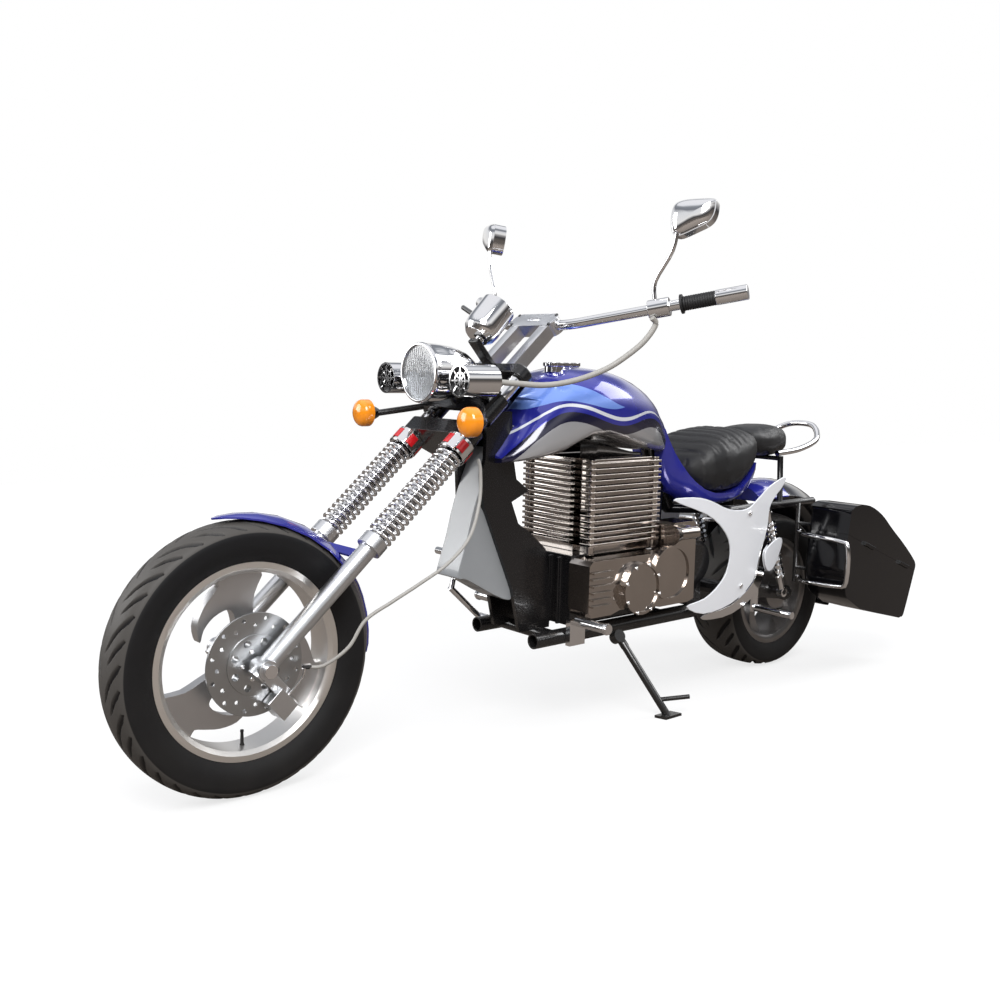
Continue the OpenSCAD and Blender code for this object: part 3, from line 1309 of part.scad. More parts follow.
module gauge() {
  color("#d6d8db") placed() fork_space() difference() {
    union() {
      translate([gauge_fwd, 0, gauge_up]) rotate([0, gauge_tilt_deg, 0]) rotate_extrude($fn = 96)
        polygon([[0, 0], [gauge_r * 0.7, 0], [gauge_r * 0.94, gauge_len * 0.14], [gauge_r, gauge_len * 0.3],
          [gauge_r, gauge_len], [0, gauge_len]]);
      translate([gauge_fwd - gauge_arm_t, 0, tube_top + seat_gap])
        cylinder(r = gauge_arm_t - cut, h = gauge_up - tube_top + gauge_arm_t);
    }
    translate([gauge_fwd, 0, gauge_up]) rotate([0, gauge_tilt_deg, 0]) translate([0, 0, gauge_len - gauge_lip])
      cylinder(r = gauge_r - gauge_lip, h = gauge_lip + cut);
  }
}
module risers() {
  color("#c9ccd0") placed() fork_space() difference() {
    union() {
      both_sides() translate([-riser_w / 2, riser_y - riser_t / 2, tube_top + seat_gap])
        cube([riser_w, riser_t, riser_h - seat_gap]);
      hull() both_sides() translate([-riser_w / 2 - cut, riser_clamp_half_w - riser_clamp_h / 2, bar_z]) rotate([0, 90, 0])
        cylinder(r = riser_clamp_h / 2, h = riser_w + 2 * cut);
    }
    across(0, -riser_clamp_half_w - cut, bar_z, bar_r + run_gap, 2 * (riser_clamp_half_w + cut));
    for (z = [-1, 1]) translate([-riser_w, -riser_slot_len / 2, bar_z - riser_slot_h / 2]) cube([2 * riser_w, riser_slot_len, riser_slot_h]);
  }
}
function bar_path() =
  let (m = fork_pt(0, bar_mid_y, bar_z), s = fork_pt(0, riser_clamp_half_w + cut, bar_z), b = bar_mid_y - riser_clamp_half_w)
  concat([for (u = [0:0.25:1]) bar_pt(bar_end_len + (b - bar_end_len) * u)],
    [for (u = [0.15:0.17:0.99]) bez(bar_pt(b), m, s, u)], [s]);
module handlebar() {
  half = bar_path();
  n = len(half);
  color("#d9dbde") placed() sweep(concat(half, [for (i = [n - 1:-1:0]) flip_y(half[i])]), bar_r, bar_side_n, [0.1, 0.02, 1]);
}
module bar_ring(at, len, r) {
  translate([0, 0, at]) difference() {
    cylinder(r = r, h = len);
    translate([0, 0, -cut]) cylinder(r = bar_r + run_gap, h = len + 2 * cut);
  }
}
module grips() {
  color("#1a1b1d") placed() both_sides() bar_space() {
    bar_ring(grip_at, grip_len, grip_r);
    bar_ring(grip_at, grip_flange_len, grip_flange_r);
  }
}
module bar_fittings() {
  end_at = grip_at + grip_len + seat_gap;
  color("#d4d6d9") placed() both_sides() bar_space() {
    bar_ring(housing_at, housing_len, housing_r);
    bar_ring(end_at, bar_end_len - end_at, end_r);
    translate([0, 0, bar_end_len + seat_gap - cut]) difference() {
      cylinder(r = end_r, h = lever_r);
      translate([0, 0, -cut]) cylinder(r = bar_r + run_gap, h = 2 * cut);
    }
  }
}
module brake_lever() {
  color("#17181a") placed() mirror([0, 1, 0]) bar_space() {
    bar_ring(lever_at, lever_perch_len, lever_perch_r);
    translate([0, 0, lever_at + lever_perch_len / 2]) rotate([0, 90, 0]) translate([0, 0, lever_perch_r - cut])
      cylinder(r = lever_r, h = lever_out - lever_perch_r);
    translate([lever_out, 0, lever_at + lever_perch_len / 2 - lever_r]) rotate([0, 4, 0]) cylinder(r = lever_r, h = lever_len);
  }
}
function mirror_base() = bar_pt(mirror_at + mirror_stem_r) + [0, 0, housing_r + 4 * seat_gap];
module mirror_head(t, grow, back) {
  p = mirror_base() + [-mirror_back, mirror_out, mirror_rise];
  translate(p) rotate([0, -mirror_tilt_deg, mirror_toe_deg]) rotate([90, 0, 90]) translate([0, 0, -t - back])
    linear_extrude(height = t) offset(delta = grow)
      polygon(smooth_loop(fit(mirror_shares, 0, 0, mirror_len, mirror_h), 3));
}
module mirrors() {
  b = mirror_base();
  path = smooth_path([b, b + [0, 0, mirror_rise * 0.28], b + [-mirror_back * 0.7, mirror_out * 0.8, mirror_rise * 0.75],
    b + [-mirror_back, mirror_out, mirror_rise + mirror_h * 0.3]], 4);
  color("#d4d6d9") placed() both_sides() {
    difference() {
      mirror_head(mirror_t, 0, 0);
      mirror_head(mirror_t, -mirror_rim, mirror_t - mirror_glass_t - seat_gap);
    }
    sweep(path, mirror_stem_r, 10, [1, 0.1, 0]);
  }
}
module mirror_glasses() {
  color("#aeb6bd") placed() both_sides() mirror_head(mirror_glass_t, -mirror_rim - seat_gap, mirror_t - mirror_glass_t);
}
module caliper() {
  y0 = disc_y - caliper_gap - caliper_t;
  y1 = leg_y - lug_w / 2 - seat_gap;
  x0 = spacer_r + caliper_gap;
  color("#aeb1b5") placed() fork_space() difference() {
    union() {
      translate([-caliper_back - caliper_len / 2, y0, caliper_up - caliper_h / 2]) cube([caliper_len, y1 - y0 + caliper_t, caliper_h]);
      translate([-caliper_back, y1 - caliper_gap * 4, -caliper_h / 3]) cube([caliper_back - x0, caliper_gap * 4, caliper_h / 1.5]);
    }
    across(0, disc_y - caliper_gap, 0, disc_r + caliper_gap, disc_t + 2 * caliper_gap);
  }
}
module brake_hose() {
  color("#9a9da1") placed() sweep(smooth_path(hose_points, 3), hose_r, hose_side_n, [0.1, 0.9, 0.3]);
}
module bar_loom() {
  color("#b4b2aa") placed() sweep(smooth_path(loom_points, 3), loom_r, 10, [0.5, 0.8, 0.1]);
}
module front_fender() {
  r = front_tyre_r + front_fender_gap;
  y0 = leg_y - leg_r - seat_gap;
  color("#1f2ab4") placed() {
    fork_space() rotate([0, rake_deg, 0]) skin([for (s = front_fender_shares)
      blade_ring(90 + s[0], r, s[1] * front_fender_half_w, front_fender_drop * s[1] * s[1], front_fender_t, fender_ring_n)]);
    fork_space() translate([-fender_brace_t / 2, -y0, r + front_fender_t / 2]) cube([fender_brace_t, 2 * y0, fender_brace_h]);
  }
}

frame();
rail_sockets();
chin_panel();
tank();
tank_caps();
spine_cover();
seat();
pillion_pad();
grab_rail();
cylinder_block();
engine_base();
crankcase();
motor();
side_panels();
panel_trims();
rear_fender();
tail_lamp();
swing_arm();
shocks();
saddlebag_left();
saddlebag_right();
bag_lid_left();
bag_lid_right();
bag_rails();
foot_pegs();
brake_pedal();
side_stand();
rear_tyre();
rear_rim();
front_tyre();
front_rim();
brake_disc();
front_axle();
fork_legs();
fork_springs();
fork_tubes();
lower_clamp();
upper_clamp();
lamp_bracket();
headlamp();
headlamp_lens();
speakers();
signal_lenses();
gauge();
risers();
handlebar();
grips();
bar_fittings();
brake_lever();
mirrors();
mirror_glasses();
caliper();
brake_hose();
bar_loom();
front_fender();
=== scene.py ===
import math
from functools import partial

import bmesh
import bpy
import numpy as np
from mathutils import Matrix, Vector


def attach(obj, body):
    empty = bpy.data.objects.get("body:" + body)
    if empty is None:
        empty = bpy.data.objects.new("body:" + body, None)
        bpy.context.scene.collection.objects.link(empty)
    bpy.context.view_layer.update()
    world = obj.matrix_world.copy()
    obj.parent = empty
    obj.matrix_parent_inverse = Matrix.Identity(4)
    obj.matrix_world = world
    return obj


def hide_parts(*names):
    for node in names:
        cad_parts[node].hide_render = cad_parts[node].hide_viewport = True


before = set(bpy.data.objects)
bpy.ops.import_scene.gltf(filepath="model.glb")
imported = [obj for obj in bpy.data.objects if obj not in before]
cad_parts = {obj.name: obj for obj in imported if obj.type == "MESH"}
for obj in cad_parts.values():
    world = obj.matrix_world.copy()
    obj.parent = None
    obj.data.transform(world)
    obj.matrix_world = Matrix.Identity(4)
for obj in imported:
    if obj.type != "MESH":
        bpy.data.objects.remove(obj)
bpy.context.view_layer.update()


# Camera: stands to the front left at chest height and looks slightly down, a little tilted, with a
# short telephoto lens; place and angles were fitted to the picture's wheels, fork and bars.
def linked(name, data):
    """A new object that shows data, linked to the scene."""
    thing = bpy.data.objects.new(name, data)
    bpy.context.scene.collection.objects.link(thing)
    return thing


camera_place = (2.0368, 2.0943, 0.7384)
camera_yaw, camera_pitch, camera_roll = (math.radians(a) for a in (49.872, -2.882, -2.418))
ahead = Vector((-math.cos(camera_yaw) * math.cos(camera_pitch),
                -math.sin(camera_yaw) * math.cos(camera_pitch), math.sin(camera_pitch)))
side = ahead.cross(Vector((0, 0, 1))).normalized()
above = side.cross(ahead)
right = math.cos(camera_roll) * side + math.sin(camera_roll) * above
up = math.cos(camera_roll) * above - math.sin(camera_roll) * side
camera = linked("camera", bpy.data.cameras.new("camera"))
camera.data.sensor_width = 36.0
camera.data.lens = 39.634
camera.data.clip_end = 200.0
camera.matrix_world = Matrix.Translation(camera_place) @ Matrix((right, up, -ahead)).transposed().to_4x4()
bpy.context.scene.camera = camera
bpy.context.scene.view_settings.view_transform = "Standard"


# Studio: a floor that is white to the eye but earth-dark in reflections, three soft boxes, and a sky
# that is white to the eye and graded in reflections, so that plated parts show light and dark bands.
def node_tree(owner):
    """Empties an owner's shader tree and returns its nodes and links."""
    owner.use_nodes = True
    owner.node_tree.nodes.clear()
    return owner.node_tree.nodes, owner.node_tree.links


def add(nodes, *kinds):
    """New shader nodes of the kinds named, in order."""
    return [nodes.new("ShaderNode" + kind) for kind in kinds]


world = bpy.data.worlds.new("studio")
bpy.context.scene.world = world
nodes, links = node_tree(world)
out, view_sky, lit_sky, pick = add(nodes, "OutputWorld", "Background", "Background", "MixShader")
where, split, ramp, rays = add(nodes, "TexCoord", "SeparateXYZ", "ValToRGB", "LightPath")
view_sky.inputs["Color"].default_value = (1, 1, 1, 1)
bands = ramp.color_ramp.elements
bands[0].position, bands[0].color = 0.0, (0.10, 0.09, 0.08, 1)
bands[1].position, bands[1].color = 1.0, (1.0, 1.0, 1.03, 1)
sky_bands = ((0.08, (0.05, 0.05, 0.055, 1)), (0.16, (0.32, 0.31, 0.31, 1)), (0.26, (0.95, 0.94, 0.92, 1)),
             (0.4, (0.85, 0.86, 0.88, 1)), (0.52, (0.22, 0.23, 0.26, 1)), (0.68, (0.3, 0.32, 0.35, 1)),
             (0.8, (0.95, 0.96, 1.0, 1)))
for place, tone in sky_bands:
    bands.new(place).color = tone
links.new(where.outputs["Generated"], split.inputs[0])
links.new(split.outputs["Z"], ramp.inputs[0])
links.new(ramp.outputs[0], lit_sky.inputs["Color"])
links.new(rays.outputs["Is Camera Ray"], pick.inputs[0])
links.new(lit_sky.outputs[0], pick.inputs[1])
links.new(view_sky.outputs[0], pick.inputs[2])
links.new(pick.outputs[0], out.inputs[0])

soft_boxes = (("key", (2.6, 3.2, 3.4), 2.4, 250), ("fill", (3.4, -2.6, 2.2), 2.2, 80),
              ("back", (-3.2, 1.4, 3.0), 2.2, 80))
lit_place = Vector((0, 0, 0.5))
for name, place, size, power in soft_boxes:
    lamp = linked(name, bpy.data.lights.new(name, "AREA"))
    lamp.data.size, lamp.data.energy = size, power
    aim = (lit_place - Vector(place)).to_track_quat("-Z", "Y")
    lamp.matrix_world = Matrix.Translation(place) @ aim.to_matrix().to_4x4()

floor_half, glow_share = 40.0, 0.72
floor_corners = [(x * floor_half, y * floor_half, 0) for x, y in ((-1, -1), (1, -1), (1, 1), (-1, 1))]
floor_mesh = bpy.data.meshes.new("floor")
floor_mesh.from_pydata(floor_corners, [], [(0, 1, 2, 3)])
floor = linked("floor", floor_mesh)
floor_look = bpy.data.materials.new("pale_floor")
nodes, links = node_tree(floor_look)
out, matte, ground, glow = add(nodes, "OutputMaterial", "BsdfDiffuse", "BsdfDiffuse", "Emission")
pale, pick, rays = add(nodes, "MixShader", "MixShader", "LightPath")
where, far, lift = add(nodes, "TexCoord", "VectorMath", "MapRange")
matte.inputs["Color"].default_value = (0.8, 0.8, 0.8, 1)
ground.inputs["Color"].default_value = (0.19, 0.165, 0.145, 1)
pale.inputs[0].default_value = glow_share
links.new(matte.outputs[0], pale.inputs[1])
links.new(glow.outputs[0], pale.inputs[2])
links.new(rays.outputs["Is Camera Ray"], pick.inputs[0])
links.new(ground.outputs[0], pick.inputs[1])
links.new(pale.outputs[0], pick.inputs[2])
links.new(pick.outputs[0], out.inputs[0])
far.operation = "LENGTH"
for key, value in (("From Min", 2.0), ("From Max", 7.0), ("To Min", 1.02), ("To Max", 1.3)):
    lift.inputs[key].default_value = value
links.new(where.outputs["Object"], far.inputs[0])
links.new(far.outputs["Value"], lift.inputs["Value"])
links.new(lift.outputs[0], glow.inputs["Strength"])
floor_mesh.materials.append(floor_look)


# Finishes shared by many pieces: each is a group of surface values that a material places with its own
# numbers, so that paint, plate and castings all carry fine grain and a little road dust.
def value_group(name, inputs, outputs):
    """A shader group with float inputs {name: default} and outputs {name: socket type}."""
    group = bpy.data.node_groups.new(name, "ShaderNodeTree")
    for key, value in inputs.items():
        socket = group.interface.new_socket(key, in_out="INPUT", socket_type="NodeSocketFloat")
        socket.default_value = value
    for key, kind in outputs.items():
        group.interface.new_socket(key, in_out="OUTPUT", socket_type=kind)
    return group, group.nodes.new("NodeGroupInput"), group.nodes.new("NodeGroupOutput")


def math_node(tree, operation, a, b=None, clamp=False):
    """A Math node whose inputs are sockets or plain numbers; returns its output."""
    n = tree.nodes.new("ShaderNodeMath")
    n.operation, n.use_clamp = operation, clamp
    for socket, value in zip(n.inputs, (a, b)):
        if isinstance(value, (int, float)):
            socket.default_value = value
        elif value is not None:
            tree.links.new(value, socket)
    return n.outputs[0]


# Fine grain: noise at two scales, from 0 to 1, for roughness and bump
fine_grain, gi, go = value_group("fine_grain", {"Scale": 300.0},
                                 {"Grain": "NodeSocketFloat", "Clouds": "NodeSocketFloat"})
coords = fine_grain.nodes.new("ShaderNodeTexCoord")
for key, factor, detail in (("Grain", 1.0, 3.0), ("Clouds", 0.04, 2.0)):
    noise = fine_grain.nodes.new("ShaderNodeTexNoise")
    noise.inputs["Detail"].default_value = detail
    fine_grain.links.new(coords.outputs["Object"], noise.inputs["Vector"])
    scale = math_node(fine_grain, "MULTIPLY", gi.outputs["Scale"], factor)
    fine_grain.links.new(scale, noise.inputs["Scale"])
    fine_grain.links.new(noise.outputs["Fac"], go.inputs[key])

# Road dust: a mask that is strongest near the ground and broken up by cloudy noise
road_dust, gi, go = value_group("road_dust", {"Amount": 0.3, "Reach": 0.5}, {"Mask": "NodeSocketFloat"})
coords, split, noise = add(road_dust.nodes, "TexCoord", "SeparateXYZ", "TexNoise")
noise.inputs["Scale"].default_value, noise.inputs["Detail"].default_value = 14.0, 4.0
road_dust.links.new(coords.outputs["Object"], split.inputs[0])
road_dust.links.new(coords.outputs["Object"], noise.inputs["Vector"])
height = math_node(road_dust, "DIVIDE", split.outputs["Z"], gi.outputs["Reach"], True)
fade = math_node(road_dust, "SUBTRACT", 1.0, height, True)
patches = math_node(road_dust, "MULTIPLY", fade, noise.outputs["Fac"])
road_dust.links.new(math_node(road_dust, "MULTIPLY", patches, gi.outputs["Amount"], True), go.inputs["Mask"])
dust_colour, dust_dulling = (0.22, 0.2, 0.17, 1), 0.4
coat_rough, relief_strength = 0.04, 0.6


def finish(name, colour, metallic=0.0, rough=(0.3, 0.4), grain=300.0, bump=0.0, coat=0.0, tint=0.06, dust=0.25):
    """A surface: colour clouded by tint, roughness between two values by grain, bump in millimetres,
    and dust low down. Returns the material, its Principled shader and the socket of its dusty colour."""
    mat = bpy.data.materials.new(name)
    nodes, links = node_tree(mat)
    tree = mat.node_tree
    out, skin, speckle, grime = add(nodes, "OutputMaterial", "BsdfPrincipled", "Group", "Group")
    shade, dusty, spread = add(nodes, "Mix", "Mix", "MapRange")
    speckle.node_tree, grime.node_tree = fine_grain, road_dust
    speckle.inputs["Scale"].default_value = grain
    grime.inputs["Amount"].default_value = dust
    shade.data_type = dusty.data_type = "RGBA"
    shade.inputs["A"].default_value = (*[c * (1 - tint) for c in colour], 1)
    shade.inputs["B"].default_value = (*[min(c * (1 + tint), 1) for c in colour], 1)
    links.new(speckle.outputs["Clouds"], shade.inputs["Factor"])
    dusty.inputs["B"].default_value = dust_colour
    links.new(grime.outputs["Mask"], dusty.inputs["Factor"])
    links.new(shade.outputs["Result"], dusty.inputs["A"])
    links.new(dusty.outputs["Result"], skin.inputs["Base Color"])
    spread.inputs["To Min"].default_value, spread.inputs["To Max"].default_value = rough
    links.new(speckle.outputs["Grain"], spread.inputs["Value"])
    dulled = math_node(tree, "MULTIPLY", grime.outputs["Mask"], dust_dulling)
    links.new(math_node(tree, "ADD", spread.outputs[0], dulled, True), skin.inputs["Roughness"])
    skin.inputs["Metallic"].default_value = metallic
    skin.inputs["Coat Weight"].default_value = coat
    skin.inputs["Coat Roughness"].default_value = coat_rough
    if bump:
        relief = nodes.new("ShaderNodeBump")
        relief.inputs["Distance"].default_value = bump * 0.001
        relief.inputs["Strength"].default_value = relief_strength
        links.new(speckle.outputs["Grain"], relief.inputs["Height"])
        links.new(relief.outputs[0], skin.inputs["Normal"])
    links.new(skin.outputs[0], out.inputs[0])
    return mat, skin, dusty.outputs["Result"]


enamel_blue = (0.022, 0.026, 0.30)
black_paint = finish("black_frame_paint", (0.004, 0.004, 0.005), rough=(0.2, 0.32), grain=500, coat=0.25,
                     bump=0.05, dust=0.1)[0]
grey_paint = finish("grey_chin_paint", (0.27, 0.285, 0.3), rough=(0.25, 0.35), grain=600, coat=0.5)[0]
blue_paint = finish("blue_enamel", enamel_blue, metallic=0.25, rough=(0.16, 0.24), grain=900, coat=1.0,
                    tint=0.12)[0]
white_paint = finish("white_panel_paint", (0.78, 0.8, 0.84), rough=(0.18, 0.26), grain=500, coat=0.8,
                     tint=0.02, dust=0.1)[0]
chrome = finish("chrome_plate", (0.8, 0.8, 0.81), metallic=1.0, rough=(0.03, 0.09), grain=160, tint=0.03,
                dust=0.08)[0]
cast_alloy = finish("cast_alloy", (0.66, 0.67, 0.69), metallic=1.0, rough=(0.22, 0.38), grain=700,
                    bump=0.12, tint=0.05, dust=0.15)[0]
engine_plate = finish("plated_engine_casting", (0.46, 0.42, 0.39), metallic=1.0, rough=(0.08, 0.18),
                      grain=260, bump=0.06, tint=0.12, dust=0.2)[0]
disc_steel = finish("ground_disc_steel", (0.42, 0.43, 0.44), metallic=1.0, rough=(0.25, 0.4), grain=200,
                    tint=0.08)[0]
dark_alloy = finish("dark_rear_rim", (0.34, 0.33, 0.33), metallic=1.0, rough=(0.25, 0.4), grain=500,
                    bump=0.1, dust=0.3)[0]
soft_rubber = finish("grip_rubber", (0.006, 0.006, 0.007), rough=(0.5, 0.7), grain=1200, bump=0.2, dust=0.0)[0]
black_gloss, gloss_skin, _ = finish("black_bag_gloss", (0.003, 0.003, 0.004), rough=(0.08, 0.14), grain=300,
                                    coat=0.15, dust=0.02)
gloss_skin.inputs["Specular IOR Level"].default_value = 0.32
leather = finish("saddle_leather", (0.006, 0.006, 0.007), rough=(0.38, 0.55), grain=700, bump=0.5, dust=0.0)[0]
amber = finish("amber_lens", (0.85, 0.27, 0.01), rough=(0.1, 0.2), grain=150, coat=0.6, dust=0.0)[0]
red_lens = finish("red_lens", (0.5, 0.01, 0.015), rough=(0.1, 0.2), grain=150, coat=0.6, dust=0.0)[0]
grey_sleeve = finish("grey_hose_sleeve", (0.34, 0.33, 0.31), rough=(0.45, 0.6), grain=1500, bump=0.2,
                     dust=0.1)[0]
mirror_glass = finish("silvered_glass", (0.75, 0.78, 0.8), metallic=1.0, rough=(0.01, 0.03), grain=100,
                      tint=0.01, dust=0.0)[0]
dial_black = finish("dial_black", (0.01, 0.01, 0.012), rough=(0.3, 0.45), grain=800, dust=0.0)[0]
lamp_glass, glass_skin, _ = finish("lamp_glass", (0.62, 0.64, 0.66), rough=(0.04, 0.1), grain=120, tint=0.02,
                                   dust=0.0, coat=0.5)
glass_skin.inputs["Transmission Weight"].default_value = 0.75


def dressed(name, look, body, sharp=35.0, edge=0.0, segments=2):
    """Shows a solid's own surface with smooth shading, sharp only past an angle, and edges rounded by
    edge millimetres."""
    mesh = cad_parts[name].data.copy()
    shell = bmesh.new()
    shell.from_mesh(mesh)
    bmesh.ops.remove_doubles(shell, verts=shell.verts, dist=1e-5)
    bmesh.ops.dissolve_limit(shell, angle_limit=math.radians(0.4), verts=shell.verts, edges=shell.edges)
    shell.to_mesh(mesh)
    shell.free()
    mesh.shade_smooth()
    mesh.set_sharp_from_angle(angle=math.radians(sharp))
    mesh.materials.clear()
    mesh.materials.append(look)
    piece = linked(name + "_dressed", mesh)
    if edge:
        rounding = piece.modifiers.new("edge", "BEVEL")
        rounding.width, rounding.segments, rounding.limit_method = edge * 0.001, segments, "ANGLE"
        rounding.angle_limit = math.radians(40)
        rounding.harden_normals = True
    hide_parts(name)
    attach(piece, body)
    return piece


for name, edge in (("frame", 0.0), ("rail_sockets", 0.6), ("swing_arm", 1.0), ("engine_base", 2.0), ("motor", 1.0)):
    dressed(name, black_paint, "chassis", edge=edge)
dressed("side_stand", black_paint, "stand", edge=0.8)
dressed("chin_panel", grey_paint, "chassis", edge=5.0, segments=3)

# Power unit: a tall block of plated cooling fins on a black base, with polished crankcase covers at both
# sides. Cover rims are held by a ring of cap screws.
lean = math.radians(5.6)
origin = (0.86633, 0.10928)
both_sides = ((1, "left"), (-1, "right"))


def leaned(points):
    """Upright places (metres; x from the rear axle, y left, z up) turned by the lean about X and moved
    to the row frame."""
    x, y, z = np.moveaxis(np.asarray(points, float), -1, 0)
    return np.stack((x - origin[0], y * math.cos(lean) + z * math.sin(lean) - origin[1],
                     z * math.cos(lean) - y * math.sin(lean)), -1)


def surface(name, points, look, body, close_u=False, close_v=False):
    """A grid of points (nu, nv, 3) in the row frame as a smooth quad surface, closed round u or v where
    asked, that rides on a body."""
    nu, nv = points.shape[:2]
    u, v = np.meshgrid(np.arange(nu if close_u else nu - 1), np.arange(nv if close_v else nv - 1), indexing="ij")
    u, v = u.ravel(), v.ravel()
    a, b = u * nv + v, ((u + 1) % nu) * nv + v
    c, d = ((u + 1) % nu) * nv + (v + 1) % nv, u * nv + (v + 1) % nv
    mesh = bpy.data.meshes.new(name)
    mesh.from_pydata(points.reshape(-1, 3).tolist(), [], np.stack((a, b, c, d), -1).tolist())
    shell = bmesh.new()
    shell.from_mesh(mesh)
    bmesh.ops.remove_doubles(shell, verts=shell.verts, dist=1e-6)
    bmesh.ops.recalc_face_normals(shell, faces=shell.faces)
    shell.to_mesh(mesh)
    shell.free()
    mesh.shade_smooth()
    mesh.set_sharp_from_angle(angle=math.radians(40))
    mesh.materials.append(look)
    piece = linked(name, mesh)
    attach(piece, body)
    return piece


def turned(profile, place, axis, around=64, reference=(0.31, 0.2, 0.93)):
    """Rings of a profile ((radius, height), ...) turned about an axis through an upright place; the
    reference fixes where the rings start."""
    axis = np.asarray(axis, float) / np.linalg.norm(axis)
    across = np.cross(axis, reference)
    across /= np.linalg.norm(across)
    turn = np.linspace(0, 2 * np.pi, around + 1)[:-1]
    ring = np.cos(turn)[:, None] * across + np.sin(turn)[:, None] * np.cross(axis, across)
    profile = np.asarray(profile, float)
    return np.asarray(place) + profile[None, :, :1] * ring[:, None, :] + profile[None, :, 1:] * axis


def screws(name, places, axis, radius, look, body):
    """Round cap screws, joined: a domed head with a socket, in shares of its radius, turned about axis
    at each upright place."""
    head = radius * np.array(((0.0, 0.45), (0.35, 0.42), (0.4, 0.75), (0.8, 0.72), (1.0, 0.5), (1.0, -0.15),
                              (0.0, -0.15)))
    grids = [leaned(turned(head, place, axis, 16, (0.3, 0.2, 0.9))) for place in places]
    parts = [surface(f"{name}_{k}", grid, look, body, close_u=True) for k, grid in enumerate(grids)]
    with bpy.context.temp_override(active_object=parts[0], selected_editable_objects=parts, selected_objects=parts):
        bpy.ops.object.join()
    return parts[0]


dressed("cylinder_block", engine_plate, "chassis", edge=1.2)
dressed("crankcase", engine_plate, "chassis", edge=4.0, segments=3)
cover_centre, cover_face, cover_screw_ring = (0.7648, 0.3645), 0.2028, 0.0655
first_screw = 0.3
ring = np.linspace(0, 2 * np.pi, 9)[:-1] + first_screw
for side_sign, side_name in both_sides:
    spots = [(cover_centre[0] + cover_screw_ring * math.cos(a), side_sign * cover_face,
              cover_centre[1] + cover_screw_ring * math.sin(a)) for a in ring]
    screws("cover_screws_" + side_name, spots, (0, side_sign, 0), 0.0048, chrome, "chassis")

# Wheels: cast alloy rims, three sickle-shaped spokes in front, with a drilled steel disc; fat tyres whose
# curved diagonal grooves are cut into the tread of a moulded carcass.
wheelbase, front_axle_height, rear_axle_height = 1.82, 0.302675, 0.246842
front_axle = np.array((wheelbase, 0, front_axle_height))


def upright_place(tree):
    """Sockets of x and z on the upright machine, in metres, from Object coordinates (the lean undone)."""
    sum_of, times = partial(math_node, tree, "ADD"), partial(math_node, tree, "MULTIPLY")
    where, split = add(tree.nodes, "TexCoord", "SeparateXYZ")
    tree.links.new(where.outputs["Object"], split.inputs[0])
    y = sum_of(split.outputs["Y"], origin[1])
    tall = sum_of(times(y, math.sin(lean)), times(split.outputs["Z"], math.cos(lean)))
    return sum_of(split.outputs["X"], origin[0]), tall


def overlay(tree, base, mask, colour):
    """Lays a colour over a colour socket where mask is 1."""
    mix = tree.nodes.new("ShaderNodeMix")
    mix.data_type = "RGBA"
    tree.links.new(mask, mix.inputs["Factor"])
    tree.links.new(base, mix.inputs["A"])
    mix.inputs["B"].default_value = (*colour, 1)
    return mix.outputs["Result"]


scuffed_grey = (0.06, 0.056, 0.052)
tyre_rubber, rubber_skin, rubber_colour = finish("tyre_rubber", (0.004, 0.004, 0.005), rough=(0.45, 0.65),
                                                 grain=900, bump=0.2, tint=0.15, dust=0.06)
rubber_skin.inputs["Specular IOR Level"].default_value = 0.3
tree = tyre_rubber.node_tree
worn = tree.nodes.new("ShaderNodeAttribute")
worn.attribute_name = "wear"
tree.links.new(overlay(tree, rubber_colour, worn.outputs["Fac"], scuffed_grey), rubber_skin.inputs["Base Color"])

widest_share, crown_power, side_power = 0.08, 0.75, 0.85
bead_gap, wall_bulge, groove_depth = 0.0008, 0.004, 0.006
tread_half_share, tread_edge_share, tread_blend_share = 0.46, 0.38, 0.04
groove_sweep, groove_curve, groove_blend = 0.9, 0.9, 0.03
groove_kinds = ((0.0, 0.095, 0.02), (0.5, 0.085, 0.30))  # step behind, half width, start across
groove_end, start_taper, end_taper = 0.99, 0.25, 0.08


